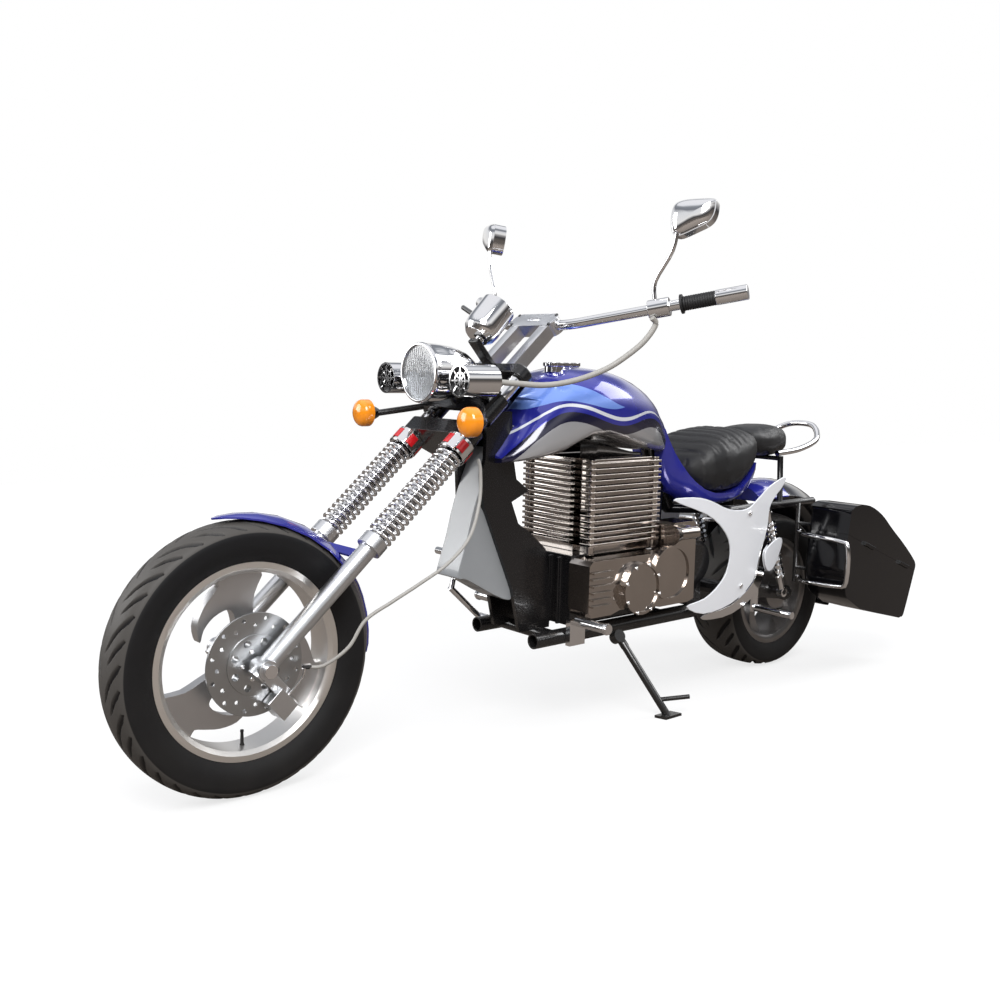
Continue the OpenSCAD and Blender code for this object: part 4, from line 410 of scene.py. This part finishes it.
def grooved_tyre(name, node, axle, radius, width, rim_radius, rim_width, grooves, body):
    """Tyre skin: the solid's own superellipse section turned about the axle, its tread sunk where a long
    curved diagonal passes.

    With s from 0 at the middle to 1 at the tread's edge, a groove lies where n*angle/2pi + sweep*s^curve is
    half a step from whole (whole, on the other side); a shorter one follows half a step behind. The wear
    attribute is 1 on the scuffed lands between them.
    """
    mid = (radius + rim_radius) / 2 + (radius - rim_radius) * widest_share
    crown = radius - mid
    angle = np.radians(np.linspace(-90, 90, 121))
    rho = mid + crown * np.abs(np.cos(angle)) ** crown_power
    y = width / 2 * np.sign(np.sin(angle)) * np.abs(np.sin(angle)) ** side_power
    wall = np.linspace(0, 1, 12)[1:, None]
    bead = np.array(((rim_radius, rim_width / 2 + bead_gap),))
    outer = np.array(((rho[-1], y[-1]),))
    down = outer + (bead - outer) * wall + np.sin(wall * np.pi) * np.array(((0.0, wall_bulge),))
    rho = np.concatenate((down[::-1, 0], rho, down[:, 0]))
    y = np.concatenate((-down[::-1, 1], y, down[:, 1]))
    turn = np.linspace(0, 2 * np.pi, 631)[:-1, None]
    s = np.abs(y) / (width * tread_half_share)
    tread = np.clip((rho - mid - crown * tread_edge_share) / (crown * tread_blend_share), 0, 1)
    phase = turn * grooves / (2 * np.pi) + groove_sweep * s[None] ** groove_curve + 0.5 * (y[None] > 0)
    depth = np.zeros(phase.shape)
    for behind, half, start in groove_kinds:
        off = np.abs((phase + behind) % 1.0 - 0.5)
        taper = np.clip((s - start) / start_taper, 0, 1) * np.clip((groove_end - s) / end_taper, 0, 1)
        depth = np.maximum(depth, np.clip((half * taper - off) / groove_blend, 0, 1))
    depth = depth * tread
    r = rho[None] - groove_depth * depth
    points = np.stack((axle[0] + r * np.sin(turn), np.broadcast_to(y, r.shape), axle[2] + r * np.cos(turn)), -1)
    tyre = surface(name, leaned(points), tyre_rubber, body, close_u=True)
    wear = tyre.data.attributes.new("wear", "FLOAT", "POINT")
    wear.data.foreach_set("value", (np.broadcast_to(tread, depth.shape) * (1 - depth)).ravel())
    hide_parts(node)
    return tyre


grooved_tyre("front_tyre_carcass", "front_tyre", front_axle, radius=0.302, width=0.110, rim_radius=0.2174,
             rim_width=0.084, grooves=18, body="front_wheel")
grooved_tyre("rear_tyre_carcass", "rear_tyre", (0, 0, rear_axle_height), radius=0.245, width=0.166,
             rim_radius=0.1704, rim_width=0.136, grooves=14, body="rear_wheel")
rim_alloy, rim_skin, rim_colour = finish("polished_rim_alloy", (0.55, 0.55, 0.56), metallic=1.0,
                                         rough=(0.28, 0.42), grain=500, bump=0.06, tint=0.05, dust=0.05)
lip_radius, lip_sharpness, lip_polish = 0.188, 120.0, (0.86, 0.84, 0.81)
tree = rim_alloy.node_tree
calc = partial(math_node, tree)
x, tall = upright_place(tree)
ahead_squared = calc("POWER", calc("SUBTRACT", x, wheelbase), 2.0)
above_squared = calc("POWER", calc("SUBTRACT", tall, front_axle_height), 2.0)
from_axle = calc("SQRT", calc("ADD", ahead_squared, above_squared))
lip = calc("MULTIPLY", calc("SUBTRACT", from_axle, lip_radius), lip_sharpness, True)
tree.links.new(overlay(tree, rim_colour, lip, lip_polish), rim_skin.inputs["Base Color"])
dressed("front_rim", rim_alloy, "front_wheel", edge=1.5)
dressed("rear_rim", dark_alloy, "rear_wheel", edge=1.5)
dressed("brake_disc", disc_steel, "front_wheel", edge=0.4)
valve_tip = front_axle - (0, 0, 0.160)
valve = ((0.0, 0.0), (0.0038, 0.0), (0.0042, 0.004), (0.0034, 0.006), (0.004, 0.030), (0.0062, 0.036), (0.0062, 0.046))
surface("front_valve_stem", leaned(turned(valve, valve_tip, (0, 0, -1), 24)), tyre_rubber, "front_wheel",
        close_u=True)
carrier_face, carrier_ring = 0.066, 0.031
ring = np.linspace(0, 2 * np.pi, 6)[:-1]
spots = [front_axle + (carrier_ring * math.cos(a), carrier_face, carrier_ring * math.sin(a)) for a in ring]
screws("disc_bolts", spots, (0, 1, 0), 0.0052, chrome, "front_wheel")

# Fork: cast lower legs on the axle, plated tubes and open coil springs between the leg collars and the
# lower clamp, under plated covers with red inserts; the clamps are black castings round tubes and stem.
rake = math.radians(48.5)
leg_spacing = 0.1


def fork_to_upright(points):
    """Fork places (x ahead of the legs, y left, z up along them from the axle) turned by the rake about Y
    to upright places."""
    x, y, z = np.moveaxis(np.asarray(points, float), -1, 0)
    return np.stack((wheelbase + x * math.cos(rake) - z * math.sin(rake), y,
                     front_axle_height + x * math.sin(rake) + z * math.cos(rake)), -1)


def swept(path, radius, around, reference=(0.21, 0.13, 0.97)):
    """Rings of a round bar carried along a path (n, 3): the ring's two directions come from the tangent
    and a fixed reference."""
    path = np.asarray(path, float)
    tangent = np.gradient(path, axis=0)
    tangent /= np.linalg.norm(tangent, axis=1, keepdims=True)
    u = np.cross(tangent, reference)
    u /= np.linalg.norm(u, axis=1, keepdims=True)
    v = np.cross(u, tangent)
    turn = np.linspace(0, 2 * np.pi, around + 1)[None, :-1, None]
    return path[:, None] + radius * (np.cos(turn) * u[:, None] + np.sin(turn) * v[:, None])


coil_radius, wire_radius, turns = 0.029, 0.004, 19
coil_low, coil_high = 0.3794, 0.6849
insert_low, insert_high, insert_half, insert_count = 0.656, 0.684, 0.3, 5
cover_radius, insert_dome = 0.0365, 0.0012
t = np.linspace(0, 1, turns * 36 + 1)
a = 2 * np.pi * turns * t
for side_sign, side_name in both_sides:
    helix = np.stack((coil_radius * np.cos(a), side_sign * leg_spacing + coil_radius * np.sin(a),
                      coil_low + (coil_high - coil_low) * t), -1)
    wire = leaned(fork_to_upright(swept(helix, wire_radius, 12, (0, 0, 1.0))))
    coil = surface("fork_coil_" + side_name, wire, chrome, "steering", close_v=True)
    if side_sign > 0:
        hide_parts("fork_springs")
    for k, middle in enumerate(np.linspace(0, 2 * np.pi, insert_count + 1)[:-1]):
        fan = np.linspace(middle - insert_half, middle + insert_half, 9)[:, None]
        height = np.linspace(insert_low, insert_high, 7)[None]
        dome = np.sqrt(np.clip(1 - ((fan - middle) / insert_half) ** 2, 0, 1))
        reach = cover_radius + insert_dome * dome * np.ones_like(height)
        skin_points = np.stack((reach * np.cos(fan), side_sign * leg_spacing + reach * np.sin(fan),
                                height + 0 * fan), -1)
        surface(f"cover_insert_{side_name}_{k}", leaned(fork_to_upright(skin_points)), red_lens, "steering")
for name, look, edge in (("fork_legs", cast_alloy, 2.0), ("fork_tubes", chrome, 0.8), ("front_axle", chrome, 0.8),
                         ("lower_clamp", black_paint, 3.0), ("upper_clamp", black_paint, 3.0),
                         ("caliper", cast_alloy, 2.5)):
    dressed(name, look, "steering", edge=edge)

# Lamps and instrument: a chrome bullet headlamp with a pressed reflector, a bulb shield and a fluted lens,
# and two speaker cans with paper cones behind their spokes, on a black bracket; amber signals and a dial.
for name, look, edge in (("lamp_bracket", black_paint, 1.0), ("headlamp", chrome, 1.5), ("speakers", chrome, 0.6),
                         ("signal_lenses", amber, 0.8), ("gauge", chrome, 1.5)):
    dressed(name, look, "steering", edge=edge)
lamp_face, speaker_face, back = fork_to_upright((0.157, 0.0, 0.755)), (0.139, 0.146, 0.752), (-1, 0, 0)
lens_radius, lens_depth, lens_dome, lens_wall = 0.0646, 0.0046, 0.0036, 0.0022
flute_pitch, flute_height = 0.0085, 0.0005
bowl_gap, bowl_depth, shield_gap = 0.0042, 0.0055, 0.0035
out_share = np.linspace(0, 1, 60)
bowl = np.stack((lens_radius * (1 - out_share),
                 lens_depth + bowl_gap + bowl_depth * np.sin(out_share * np.pi / 2)), -1)
surface("headlamp_reflector", leaned(turned(bowl, lamp_face, back)), chrome, "steering", close_u=True)
bulb_shield_and_shade_sheet = np.array(((0.0, -0.0005), (0.009, 0.0), (0.011, 0.0015), (0.011, 0.006))) + (0, lens_depth + shield_gap)
surface("headlamp_bulb_shield", leaned(turned(bulb_shield_and_shade_sheet, lamp_face, back)), cast_alloy, "steering",
        close_u=True)
front = np.stack((lens_radius * out_share, lens_depth - lens_dome * (1 - out_share ** 2)), -1)
rear = front[::-1] + (0, lens_wall)
glass_points = turned(np.concatenate((front, rear)), lamp_face, back, 160)
sideways, upward = glass_points[..., 1] - lamp_face[1], glass_points[..., 2] - lamp_face[2]
fade = 1 - (np.hypot(sideways, upward) / lens_radius) ** 4
glass_points[..., 0] += flute_height * np.cos(2 * np.pi * sideways / flute_pitch) * fade
lens = surface("headlamp_glass", leaned(glass_points), lamp_glass, "steering", close_u=True)
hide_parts("headlamp_lens")
cone = ((0.0328, 0.006), (0.024, 0.009), (0.0115, 0.0132), (0.0105, 0.0125), (0.006, 0.0108), (0.0, 0.0102))
for side_sign, side_name in both_sides:
    place = fork_to_upright((speaker_face[0], side_sign * speaker_face[1], speaker_face[2]))
    surface("speaker_cone_" + side_name, leaned(turned(cone, place, back)), soft_rubber, "steering",
            close_u=True)

gauge_base, gauge_tilt = np.array((0.108, 0.0, 0.946)), math.radians(5)
gauge_up = np.array((math.sin(gauge_tilt), 0.0, math.cos(gauge_tilt)))
gauge_fore = np.array((math.cos(gauge_tilt), 0.0, -math.sin(gauge_tilt)))
gauge_left = np.array((0, 1.0, 0))
dial_radius, dial_height, mark_height, needle_height = 0.0395, 0.0974, 0.0977, 0.0985
glass_height, glass_dome = 0.1008, 0.0008
mark_outer, long_mark, short_mark = 0.0365, (0.0009, 0.0295), (0.0005, 0.0325)  # half width, inner end
dial_half_sweep, mark_count, long_every = 135, 28, 3


def on_dial(right, top, height):
    """Dial places (right and top as the rider sees them, height above the gauge's base) in the row frame."""
    right, top, height = (np.asarray(part)[..., None] for part in (right, top, height))
    return leaned(fork_to_upright(gauge_base + height * gauge_up + top * gauge_fore - right * gauge_left))


def dial_bar(ends, half_widths, angle, height):
    """A flat bar along an angle of the dial between two distances, with a half width at each end."""
    r, w = np.array(ends)[:, None], np.array((-1.0, 1.0))[None] * np.array(half_widths)[:, None]
    return on_dial(r * math.sin(angle) + w * math.cos(angle), r * math.cos(angle) - w * math.sin(angle),
                   np.full((2, 2), height))


turn = np.linspace(0, 2 * np.pi, 65)[:, None]
face_r = np.array((0.0, 0.02, dial_radius))
face_right, face_top = face_r * np.cos(turn), face_r * np.sin(turn)
surface("gauge_dial", on_dial(face_right, face_top, np.full((65, 3), dial_height)), dial_black, "steering")
for k, angle in enumerate(np.radians(np.linspace(-dial_half_sweep, dial_half_sweep, mark_count))):
    width, inner = short_mark if k % long_every else long_mark
    surface(f"gauge_mark_{k}", dial_bar((inner, mark_outer), (width, width), angle, mark_height), white_paint,
            "steering")
needle = dial_bar((-0.008, 0.03), (0.0013, 0.0004), math.radians(-dial_half_sweep), needle_height)
surface("gauge_needle", needle, amber, "steering")
glass_rise = glass_height + glass_dome * (1 - (face_r / dial_radius) ** 2) + np.zeros((65, 1))
surface("gauge_glass", on_dial(face_right, face_top, glass_rise), lamp_glass, "steering")

# Bars: aluminium risers and a swept plated handlebar with ribbed rubber grips, plated housings, a black
# brake lever, two mirrors, and a sleeved loom and brake hose that hang in their own curves.
for name, look, edge in (("risers", cast_alloy, 2.0), ("handlebar", chrome, 0.0), ("bar_fittings", chrome, 1.5),
                         ("brake_lever", black_paint, 1.0), ("mirrors", chrome, 4.0),
                         ("mirror_glasses", mirror_glass, 0.5)):
    dressed(name, look, "steering", edge=edge, sharp=50)
bar_root, bar_rise, bar_sweep = fork_to_upright((0.0, 0.115, 1.119)), math.radians(10.5), math.radians(30)
bar_dir = np.array((-math.sin(bar_sweep) * math.cos(bar_rise), math.cos(bar_sweep) * math.cos(bar_rise),
                    math.sin(bar_rise)))
mirror_along, clamp_rise, stem_reach = 0.219, 0.0246, (-0.020, 0.048, 0.150)
mirror_size, mirror_bulge, mirror_inset, mirror_sink = (0.104, 0.082), 0.017, 0.955, 0.0004
mirror_tilt, mirror_toe = math.radians(-8), math.radians(25)
mirror_shares = ((-0.1, 0), (0.06, -0.02), (0.4, 0.16), (0.68, 0.34), (0.8, 0.56), (0.83, 0.86), (0.78, 1.01),
                 (0.42, 1.03), (0.05, 1), (-0.15, 0.86), (-0.2, 0.5), (-0.17, 0.16))


def between(a, b, c, d, steps):
    """Catmull-Rom places from each point b towards c, whose outer neighbours are a and d, in steps."""
    a, b, c, d = (p[:, None] for p in (a, b, c, d))
    t = np.linspace(0, 1, steps + 1)[None, :-1, None]
    bend, twist = 2 * a - 5 * b + 4 * c - d, 3 * b - a - 3 * c + d
    return (0.5 * (2 * b + (c - a) * t + bend * t ** 2 + twist * t ** 3)).reshape(-1, b.shape[-1])


def smooth_route(points, steps):
    """A Catmull-Rom curve through route points, with steps pieces in each span."""
    p = np.concatenate((points[:1], points, points[-1:]))
    return np.concatenate((between(p[:-3], p[1:-2], p[2:-1], p[3:], steps), p[-1:]))


mirror_place = bar_root + mirror_along * bar_dir + np.array(stem_reach) + (0, 0, clamp_rise)
mirror_turn = np.array(Matrix.Rotation(mirror_toe, 3, "Z") @ Matrix.Rotation(mirror_tilt, 3, "Y"))
corners = np.array(mirror_shares) * mirror_size
outline = between(*(np.roll(corners, -k, 0) for k in (-1, 0, 1, 2)), 6)
inner = np.linspace(1, 0, 13)[:, None]
middle = outline.mean(0)
rings = middle + inner[..., None] * mirror_inset * (outline - middle)
bulge = np.broadcast_to(mirror_bulge * np.sqrt(1 - inner ** 2.4) - mirror_sink, rings.shape[:2])
shell_points = np.stack((bulge, rings[..., 0], rings[..., 1]), -1) @ mirror_turn.T + mirror_place
for side_sign, side_name in both_sides:
    surface("mirror_shell_" + side_name, leaned(shell_points * (1, side_sign, 1)), chrome, "steering",
            close_v=True)
bolt_face, bolt_side, bolt_heights = 0.0173, 0.07, (1.1012, 1.1368)
clamp_bolts = fork_to_upright([(bolt_face, y, z) for y in (-bolt_side, bolt_side) for z in bolt_heights])
screws("riser_bolts", clamp_bolts, (math.cos(rake), 0, math.sin(rake)), 0.0046, black_paint, "steering")

grip_start, grip_length, bore_radius = 0.284, 0.084, 0.0129
grip_radius, rib_height, rib_pitch = 0.0165, 0.0011, 0.006
flange_radius, flange_length, end_radius, end_from = 0.0235, 0.006, 0.0172, 0.081
along = np.linspace(0, grip_length, 169)
ribs = grip_radius + rib_height * np.abs(np.sin(np.pi * along / rib_pitch)) ** 0.7
ribs = np.where(along < flange_length, flange_radius, np.where(along > end_from, end_radius, ribs))
profile = np.concatenate((((bore_radius, 0.0),), np.stack((ribs, along), -1), ((bore_radius, grip_length),)))
for side_sign, side_name in both_sides:
    points = turned(profile, bar_root + grip_start * bar_dir, bar_dir, 48) * (1, side_sign, 1)
    grip = surface("ribbed_grip_" + side_name, leaned(points), soft_rubber, "steering", close_u=True)
    if side_sign > 0:
        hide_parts("grips")

brake_route = np.array(((1716, 92, 288), (1680, 108, 288), (1632, 132, 326), (1595, 142, 383), (1535, 158, 420),
                        (1469, 170, 455), (1390, 168, 492), (1320, 158, 545), (1276, 138, 622), (1258, 118, 690),
                        (1252, 102, 718))) * 0.001
loom_route = np.array(((893, 312, 1062), (880, 312, 1046), (905, 296, 1003), (950, 264, 958), (992, 240, 931),
                       (1052, 210, 908), (1115, 180, 897), (1185, 152, 900), (1251, 142, 904))) * 0.001
for name, route, radius in (("brake_hose", brake_route, 0.004), ("bar_loom", loom_route, 0.007)):
    route = leaned(smooth_route(route, 10))
    start_cap, end_cap = (np.repeat(end[:, None], 16, 1) for end in (route[:1], route[-1:]))
    tube = np.concatenate((start_cap, swept(route, radius, 16), end_cap))
    hose = surface(name + "_sleeve", tube, grey_sleeve, "steering", close_v=True)
    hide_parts(name)

pipe_radius, union_axis = 0.0026, (0.93, -0.36, 0.0)
pipe_route = np.array(((1716, 92, 288), (1721, 91, 268), (1736, 87, 246), (1750, 82, 230), (1757, 80, 218))) * 0.001
surface("brake_pipe", leaned(swept(smooth_route(pipe_route, 8), pipe_radius, 12)), chrome, "steering",
        close_v=True)
union_nut = ((0.0, -0.013), (0.0052, -0.013), (0.0062, -0.008), (0.0062, 0.004), (0.0045, 0.008), (0.0, 0.008))
surface("hose_union", leaned(turned(union_nut, brake_route[0], union_axis, 6)), chrome, "steering",
        close_u=True)

# Bodywork: pressed steel tank, spine cover and fenders in blue enamel under lacquer. The tank carries
# airbrushed waves: a silver lower field, a navy border, a pale sweep and a white pinstripe, all functions
# of place; the pale sweep on the upper front is a painted highlight that stands for light-blue glints there. A black
# sheet fills the arch between the tank and the block: painted shade that stands for the shaded underside of the tank.
tank_paint, tank_skin, tank_colour = finish("tank_enamel_with_waves", enamel_blue, metallic=0.25,
                                            rough=(0.14, 0.22), grain=900, coat=1.0, tint=0.12)
tank_back, tank_length, tank_low, tank_height = 0.545, 0.617, 0.70, 0.241
tree = tank_paint.node_tree
calc = partial(math_node, tree)
x, tall = upright_place(tree)
u = calc("DIVIDE", calc("SUBTRACT", x, tank_back), tank_length)
v = calc("DIVIDE", calc("SUBTRACT", tall, tank_low), tank_height)
half_wave = calc("SINE", calc("MULTIPLY", u, math.pi))
wave = calc("MULTIPLY", calc("SINE", calc("ADD", calc("MULTIPLY", u, 9.4), 0.5)), 0.13)
edge_line = calc("ADD", calc("ADD", wave, calc("MULTIPLY", half_wave, 0.40)), 0.02)
above_edge = calc("SUBTRACT", v, edge_line)
highlight_sweep_line = calc("ABSOLUTE", calc("SUBTRACT", above_edge, 0.30))
highlight_sweep_width = calc("MULTIPLY", calc("SINE", calc("MULTIPLY", calc("SUBTRACT", u, 0.42), 6.0)), 0.09)
pin_line = calc("ABSOLUTE", calc("SUBTRACT", above_edge, 0.17))
pin_width = calc("MULTIPLY", half_wave, 0.02)
paint = tank_colour
# The pale sweep is a painted highlight: it stands for light-blue glints on the upper front of the glossy tank, laid
# out as a stroke of the waves.
for line, limit, colour in ((highlight_sweep_line, highlight_sweep_width, (0.17, 0.30, 0.78)), (pin_line, pin_width, (0.8, 0.83, 0.9)),
                            (above_edge, 0.1, (0.006, 0.006, 0.03)), (above_edge, 0.0, (0.34, 0.34, 0.35))):
    paint = overlay(tree, paint, calc("LESS_THAN", line, limit), colour)
tree.links.new(paint, tank_skin.inputs["Base Color"])
dressed("tank", tank_paint, "chassis", edge=1.5)

# Painted shade: a black sheet in the arch under the tank stands for the shadow on the tank's underside over the block.
arch_x = np.array((0.662, 0.690, 0.736, 0.780, 0.860, 0.893))
arch_top = np.array((0.7155, 0.7175, 0.7278, 0.7395, 0.7545, 0.7525))
shade_sheet_low, tank_gap, shade_sheet_wall = 0.7045, 0.003, 0.0015
along = np.linspace(arch_x[0], arch_x[-1], 41)[:, None]
crown = np.interp(along, arch_x, arch_top) - tank_gap
girth = np.array(((-0.082, 0.0), (-0.082, 0.8), (-0.076, 0.97), (-0.066, 1.0), (0.066, 1.0), (0.076, 0.97),
                  (0.082, 0.8), (0.082, 0.0)))  # y, share of the height
bulb_shield_and_shade_sheet = np.stack(np.broadcast_arrays(along, girth[:, 0], shade_sheet_low + girth[:, 1] * (crown - shade_sheet_low)), -1)
shade_sheet = surface("tank_shade_sheet", leaned(bulb_shield_and_shade_sheet), black_paint, "chassis")
wall = shade_sheet.modifiers.new("wall", "SOLIDIFY")
wall.thickness, wall.offset = shade_sheet_wall, -1.0
dressed("spine_cover", blue_paint, "chassis", edge=2.0)
dressed("front_fender", blue_paint, "steering", edge=0.8)
dressed("tank_caps", chrome, "chassis", edge=1.5)

rear_paint, rear_skin, rear_colour = finish("rear_fender_enamel", (0.008, 0.008, 0.012), rough=(0.1, 0.18),
                                            grain=900, coat=1.0)
tree = rear_paint.node_tree
calc = partial(math_node, tree)
x, tall = upright_place(tree)
rear_line = calc("ADD", x, calc("MULTIPLY", calc("SINE", calc("MULTIPLY", tall, 24.0)), 0.012))
two_tone = overlay(tree, rear_colour, calc("GREATER_THAN", rear_line, 0.0), enamel_blue)
tree.links.new(two_tone, rear_skin.inputs["Base Color"])
dressed("rear_fender", rear_paint, "chassis", edge=0.8)
dressed("side_panels", white_paint, "chassis", edge=2.0)
dressed("panel_trims", chrome, "chassis", edge=1.0)
panel_back, panel_low, panel_length, panel_height, panel_face = 0.103, 0.253, 0.51, 0.372, 0.1765
bolt_shares = ((0.367, 0.74), (0.42, 0.17))
for side_sign, side_name in both_sides:
    spots = [(panel_back + along_share * panel_length, side_sign * panel_face, panel_low + up_share * panel_height)
             for along_share, up_share in bolt_shares]
    screws("panel_bolts_" + side_name, spots, (0, side_sign, 0), 0.007, chrome, "chassis")


# Saddle: foam under black leather on the seat pan, stitched across in soft rolls, and a plain pillion pad
# behind it. The covers are blown out by cloth pressure from a slightly smaller form, then sewn down along
# the rolls.
def cushion(name, shrink, cap, rolls, depth):
    """A padded cover: the solid's form drawn in by shrink, remeshed, blown by cloth pressure with each point
    moved at most cap, then sunk along evenly spaced lines across by depth times a narrow bell curve."""
    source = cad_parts[name].data.copy()
    shell = bmesh.new()
    shell.from_mesh(source)
    bmesh.ops.remove_doubles(shell, verts=shell.verts, dist=1e-5)
    bmesh.ops.recalc_face_normals(shell, faces=shell.faces)
    shell.normal_update()
    shell.to_mesh(source)
    shell.free()
    pad = linked(name + "_cover", source)
    remesh = pad.modifiers.new("remesh", "REMESH")
    remesh.mode, remesh.voxel_size = "VOXEL", 0.005
    bpy.context.view_layer.update()
    mesh = bpy.data.meshes.new_from_object(pad.evaluated_get(bpy.context.evaluated_depsgraph_get()))
    pad.modifiers.clear()
    pad.data = mesh
    count = len(mesh.vertices)
    rest, normal = np.empty(count * 3), np.empty(count * 3)
    mesh.vertices.foreach_get("co", rest)
    mesh.vertex_normals.foreach_get("vector", normal)
    rest, normal = rest.reshape(-1, 3), normal.reshape(-1, 3)
    small = rest - normal * shrink
    mesh.vertices.foreach_set("co", small.ravel())
    mesh.update()
    blown = rest
    cloth = pad.modifiers.new("cloth", "CLOTH")
    cloth.settings.use_pressure = True
    cloth.settings.uniform_pressure_force = 4.0
    cloth.settings.effector_weights.gravity = 0.0
    cloth.settings.quality = 4
    for step in range(1, 21):
        bpy.context.scene.frame_set(step)
    moved = pad.evaluated_get(bpy.context.evaluated_depsgraph_get()).data
    blown = np.empty(count * 3)
    moved.vertices.foreach_get("co", blown)
    blown = blown.reshape(-1, 3)
    bpy.context.scene.frame_set(1)
    pad.modifiers.clear()
    shift = blown - small
    length = np.linalg.norm(shift, axis=1, keepdims=True)
    blown = small + shift * np.minimum(1.0, cap / np.maximum(length, 1e-9))
    if rolls:
        low, high = rest.min(0), rest.max(0)
        roll_bow, seam_share, top_from, top_blend = 0.10, 0.16, 0.15, 0.4
        along = (blown[:, 0] - low[0]) / (high[0] - low[0])
        bow = roll_bow * ((blown[:, 1] - (low[1] + high[1]) / 2) / ((high[1] - low[1]) / 2)) ** 2
        phase = (along + bow) * rolls
        groove = np.exp(-((phase - np.round(phase)) / seam_share) ** 2)
        ends = np.clip((along - 0.06) / 0.1, 0, 1) * np.clip((0.96 - along) / 0.08, 0, 1)
        crown = np.clip((normal[:, 2] - top_from) / top_blend, 0, 1) * ends
        blown = blown - normal * (depth * groove * crown)[:, None]
    mesh.vertices.foreach_set("co", blown.ravel())
    mesh.shade_smooth()
    mesh.materials.clear()
    mesh.materials.append(leather)
    round_off = pad.modifiers.new("round", "SUBSURF")
    round_off.levels = round_off.render_levels = 1
    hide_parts(name)
    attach(pad, "chassis")
    return pad


cushion("seat", shrink=0.004, cap=0.006, rolls=9, depth=0.0045)
cushion("pillion_pad", shrink=0.004, cap=0.006, rolls=0, depth=0.0)

# Rear: plated shocks, grab rail, bag guards and pegs; glossy black moulded bags, well rounded outside,
# whose lids ride on bodies of their own, which hinge them outwards.
seam_back, seam_front = (-0.390, 0.30786), (0.005, 0.45906)
seam_slope = (seam_front[1] - seam_back[1]) / (seam_front[0] - seam_back[0])
seam_reach, shortest_edge, flattest_edge, outward = 0.0025, 0.02, math.radians(20), 0.02


def on_seam(place):
    """Whether a place in the row frame lies at the slanting seam between bag and lid."""
    tall = (place.y + origin[1]) * math.sin(lean) + place.z * math.cos(lean)
    return abs(tall - seam_back[1] - seam_slope * (place.x + origin[0] - seam_back[0])) < seam_reach


def rounded_box(name, look, body, radius):
    """A dressed shell whose long outward edges, other than those along its open seam, are rounded to
    radius in six facets."""
    piece = dressed(name, look, body, sharp=30)
    shell = bmesh.new()
    shell.from_mesh(piece.data)
    centre = sum((v.co for v in shell.verts), Vector()) / len(shell.verts)
    chosen = []
    for e in shell.edges:
        if len(e.link_faces) != 2 or e.calc_length() < shortest_edge:
            continue
        if not e.is_convex or e.calc_face_angle() < flattest_edge or all(on_seam(v.co) for v in e.verts):
            continue
        middle = (e.verts[0].co + e.verts[1].co) / 2
        if all((middle - centre).dot(f.normal) > outward for f in e.link_faces):
            chosen.append(e)
    bmesh.ops.bevel(shell, geom=chosen, offset=radius, segments=6, profile=0.5, affect="EDGES", clamp_overlap=False)
    shell.to_mesh(piece.data)
    shell.free()
    piece.data.shade_smooth()
    piece.data.set_sharp_from_angle(angle=math.radians(30))
    return piece


for name, look, edge in (("shocks", chrome, 0.8), ("grab_rail", chrome, 0.0), ("bag_rails", chrome, 0.0),
                         ("foot_pegs", chrome, 1.5), ("brake_pedal", chrome, 1.0), ("tail_lamp", red_lens, 2.0)):
    dressed(name, look, "chassis", edge=edge, sharp=45)
bag_rounding = 0.013
for name, body in (("saddlebag_left", "chassis"), ("saddlebag_right", "chassis"), ("bag_lid_left", "left_lid"),
                   ("bag_lid_right", "right_lid")):
    rounded_box(name, black_gloss, body, bag_rounding)
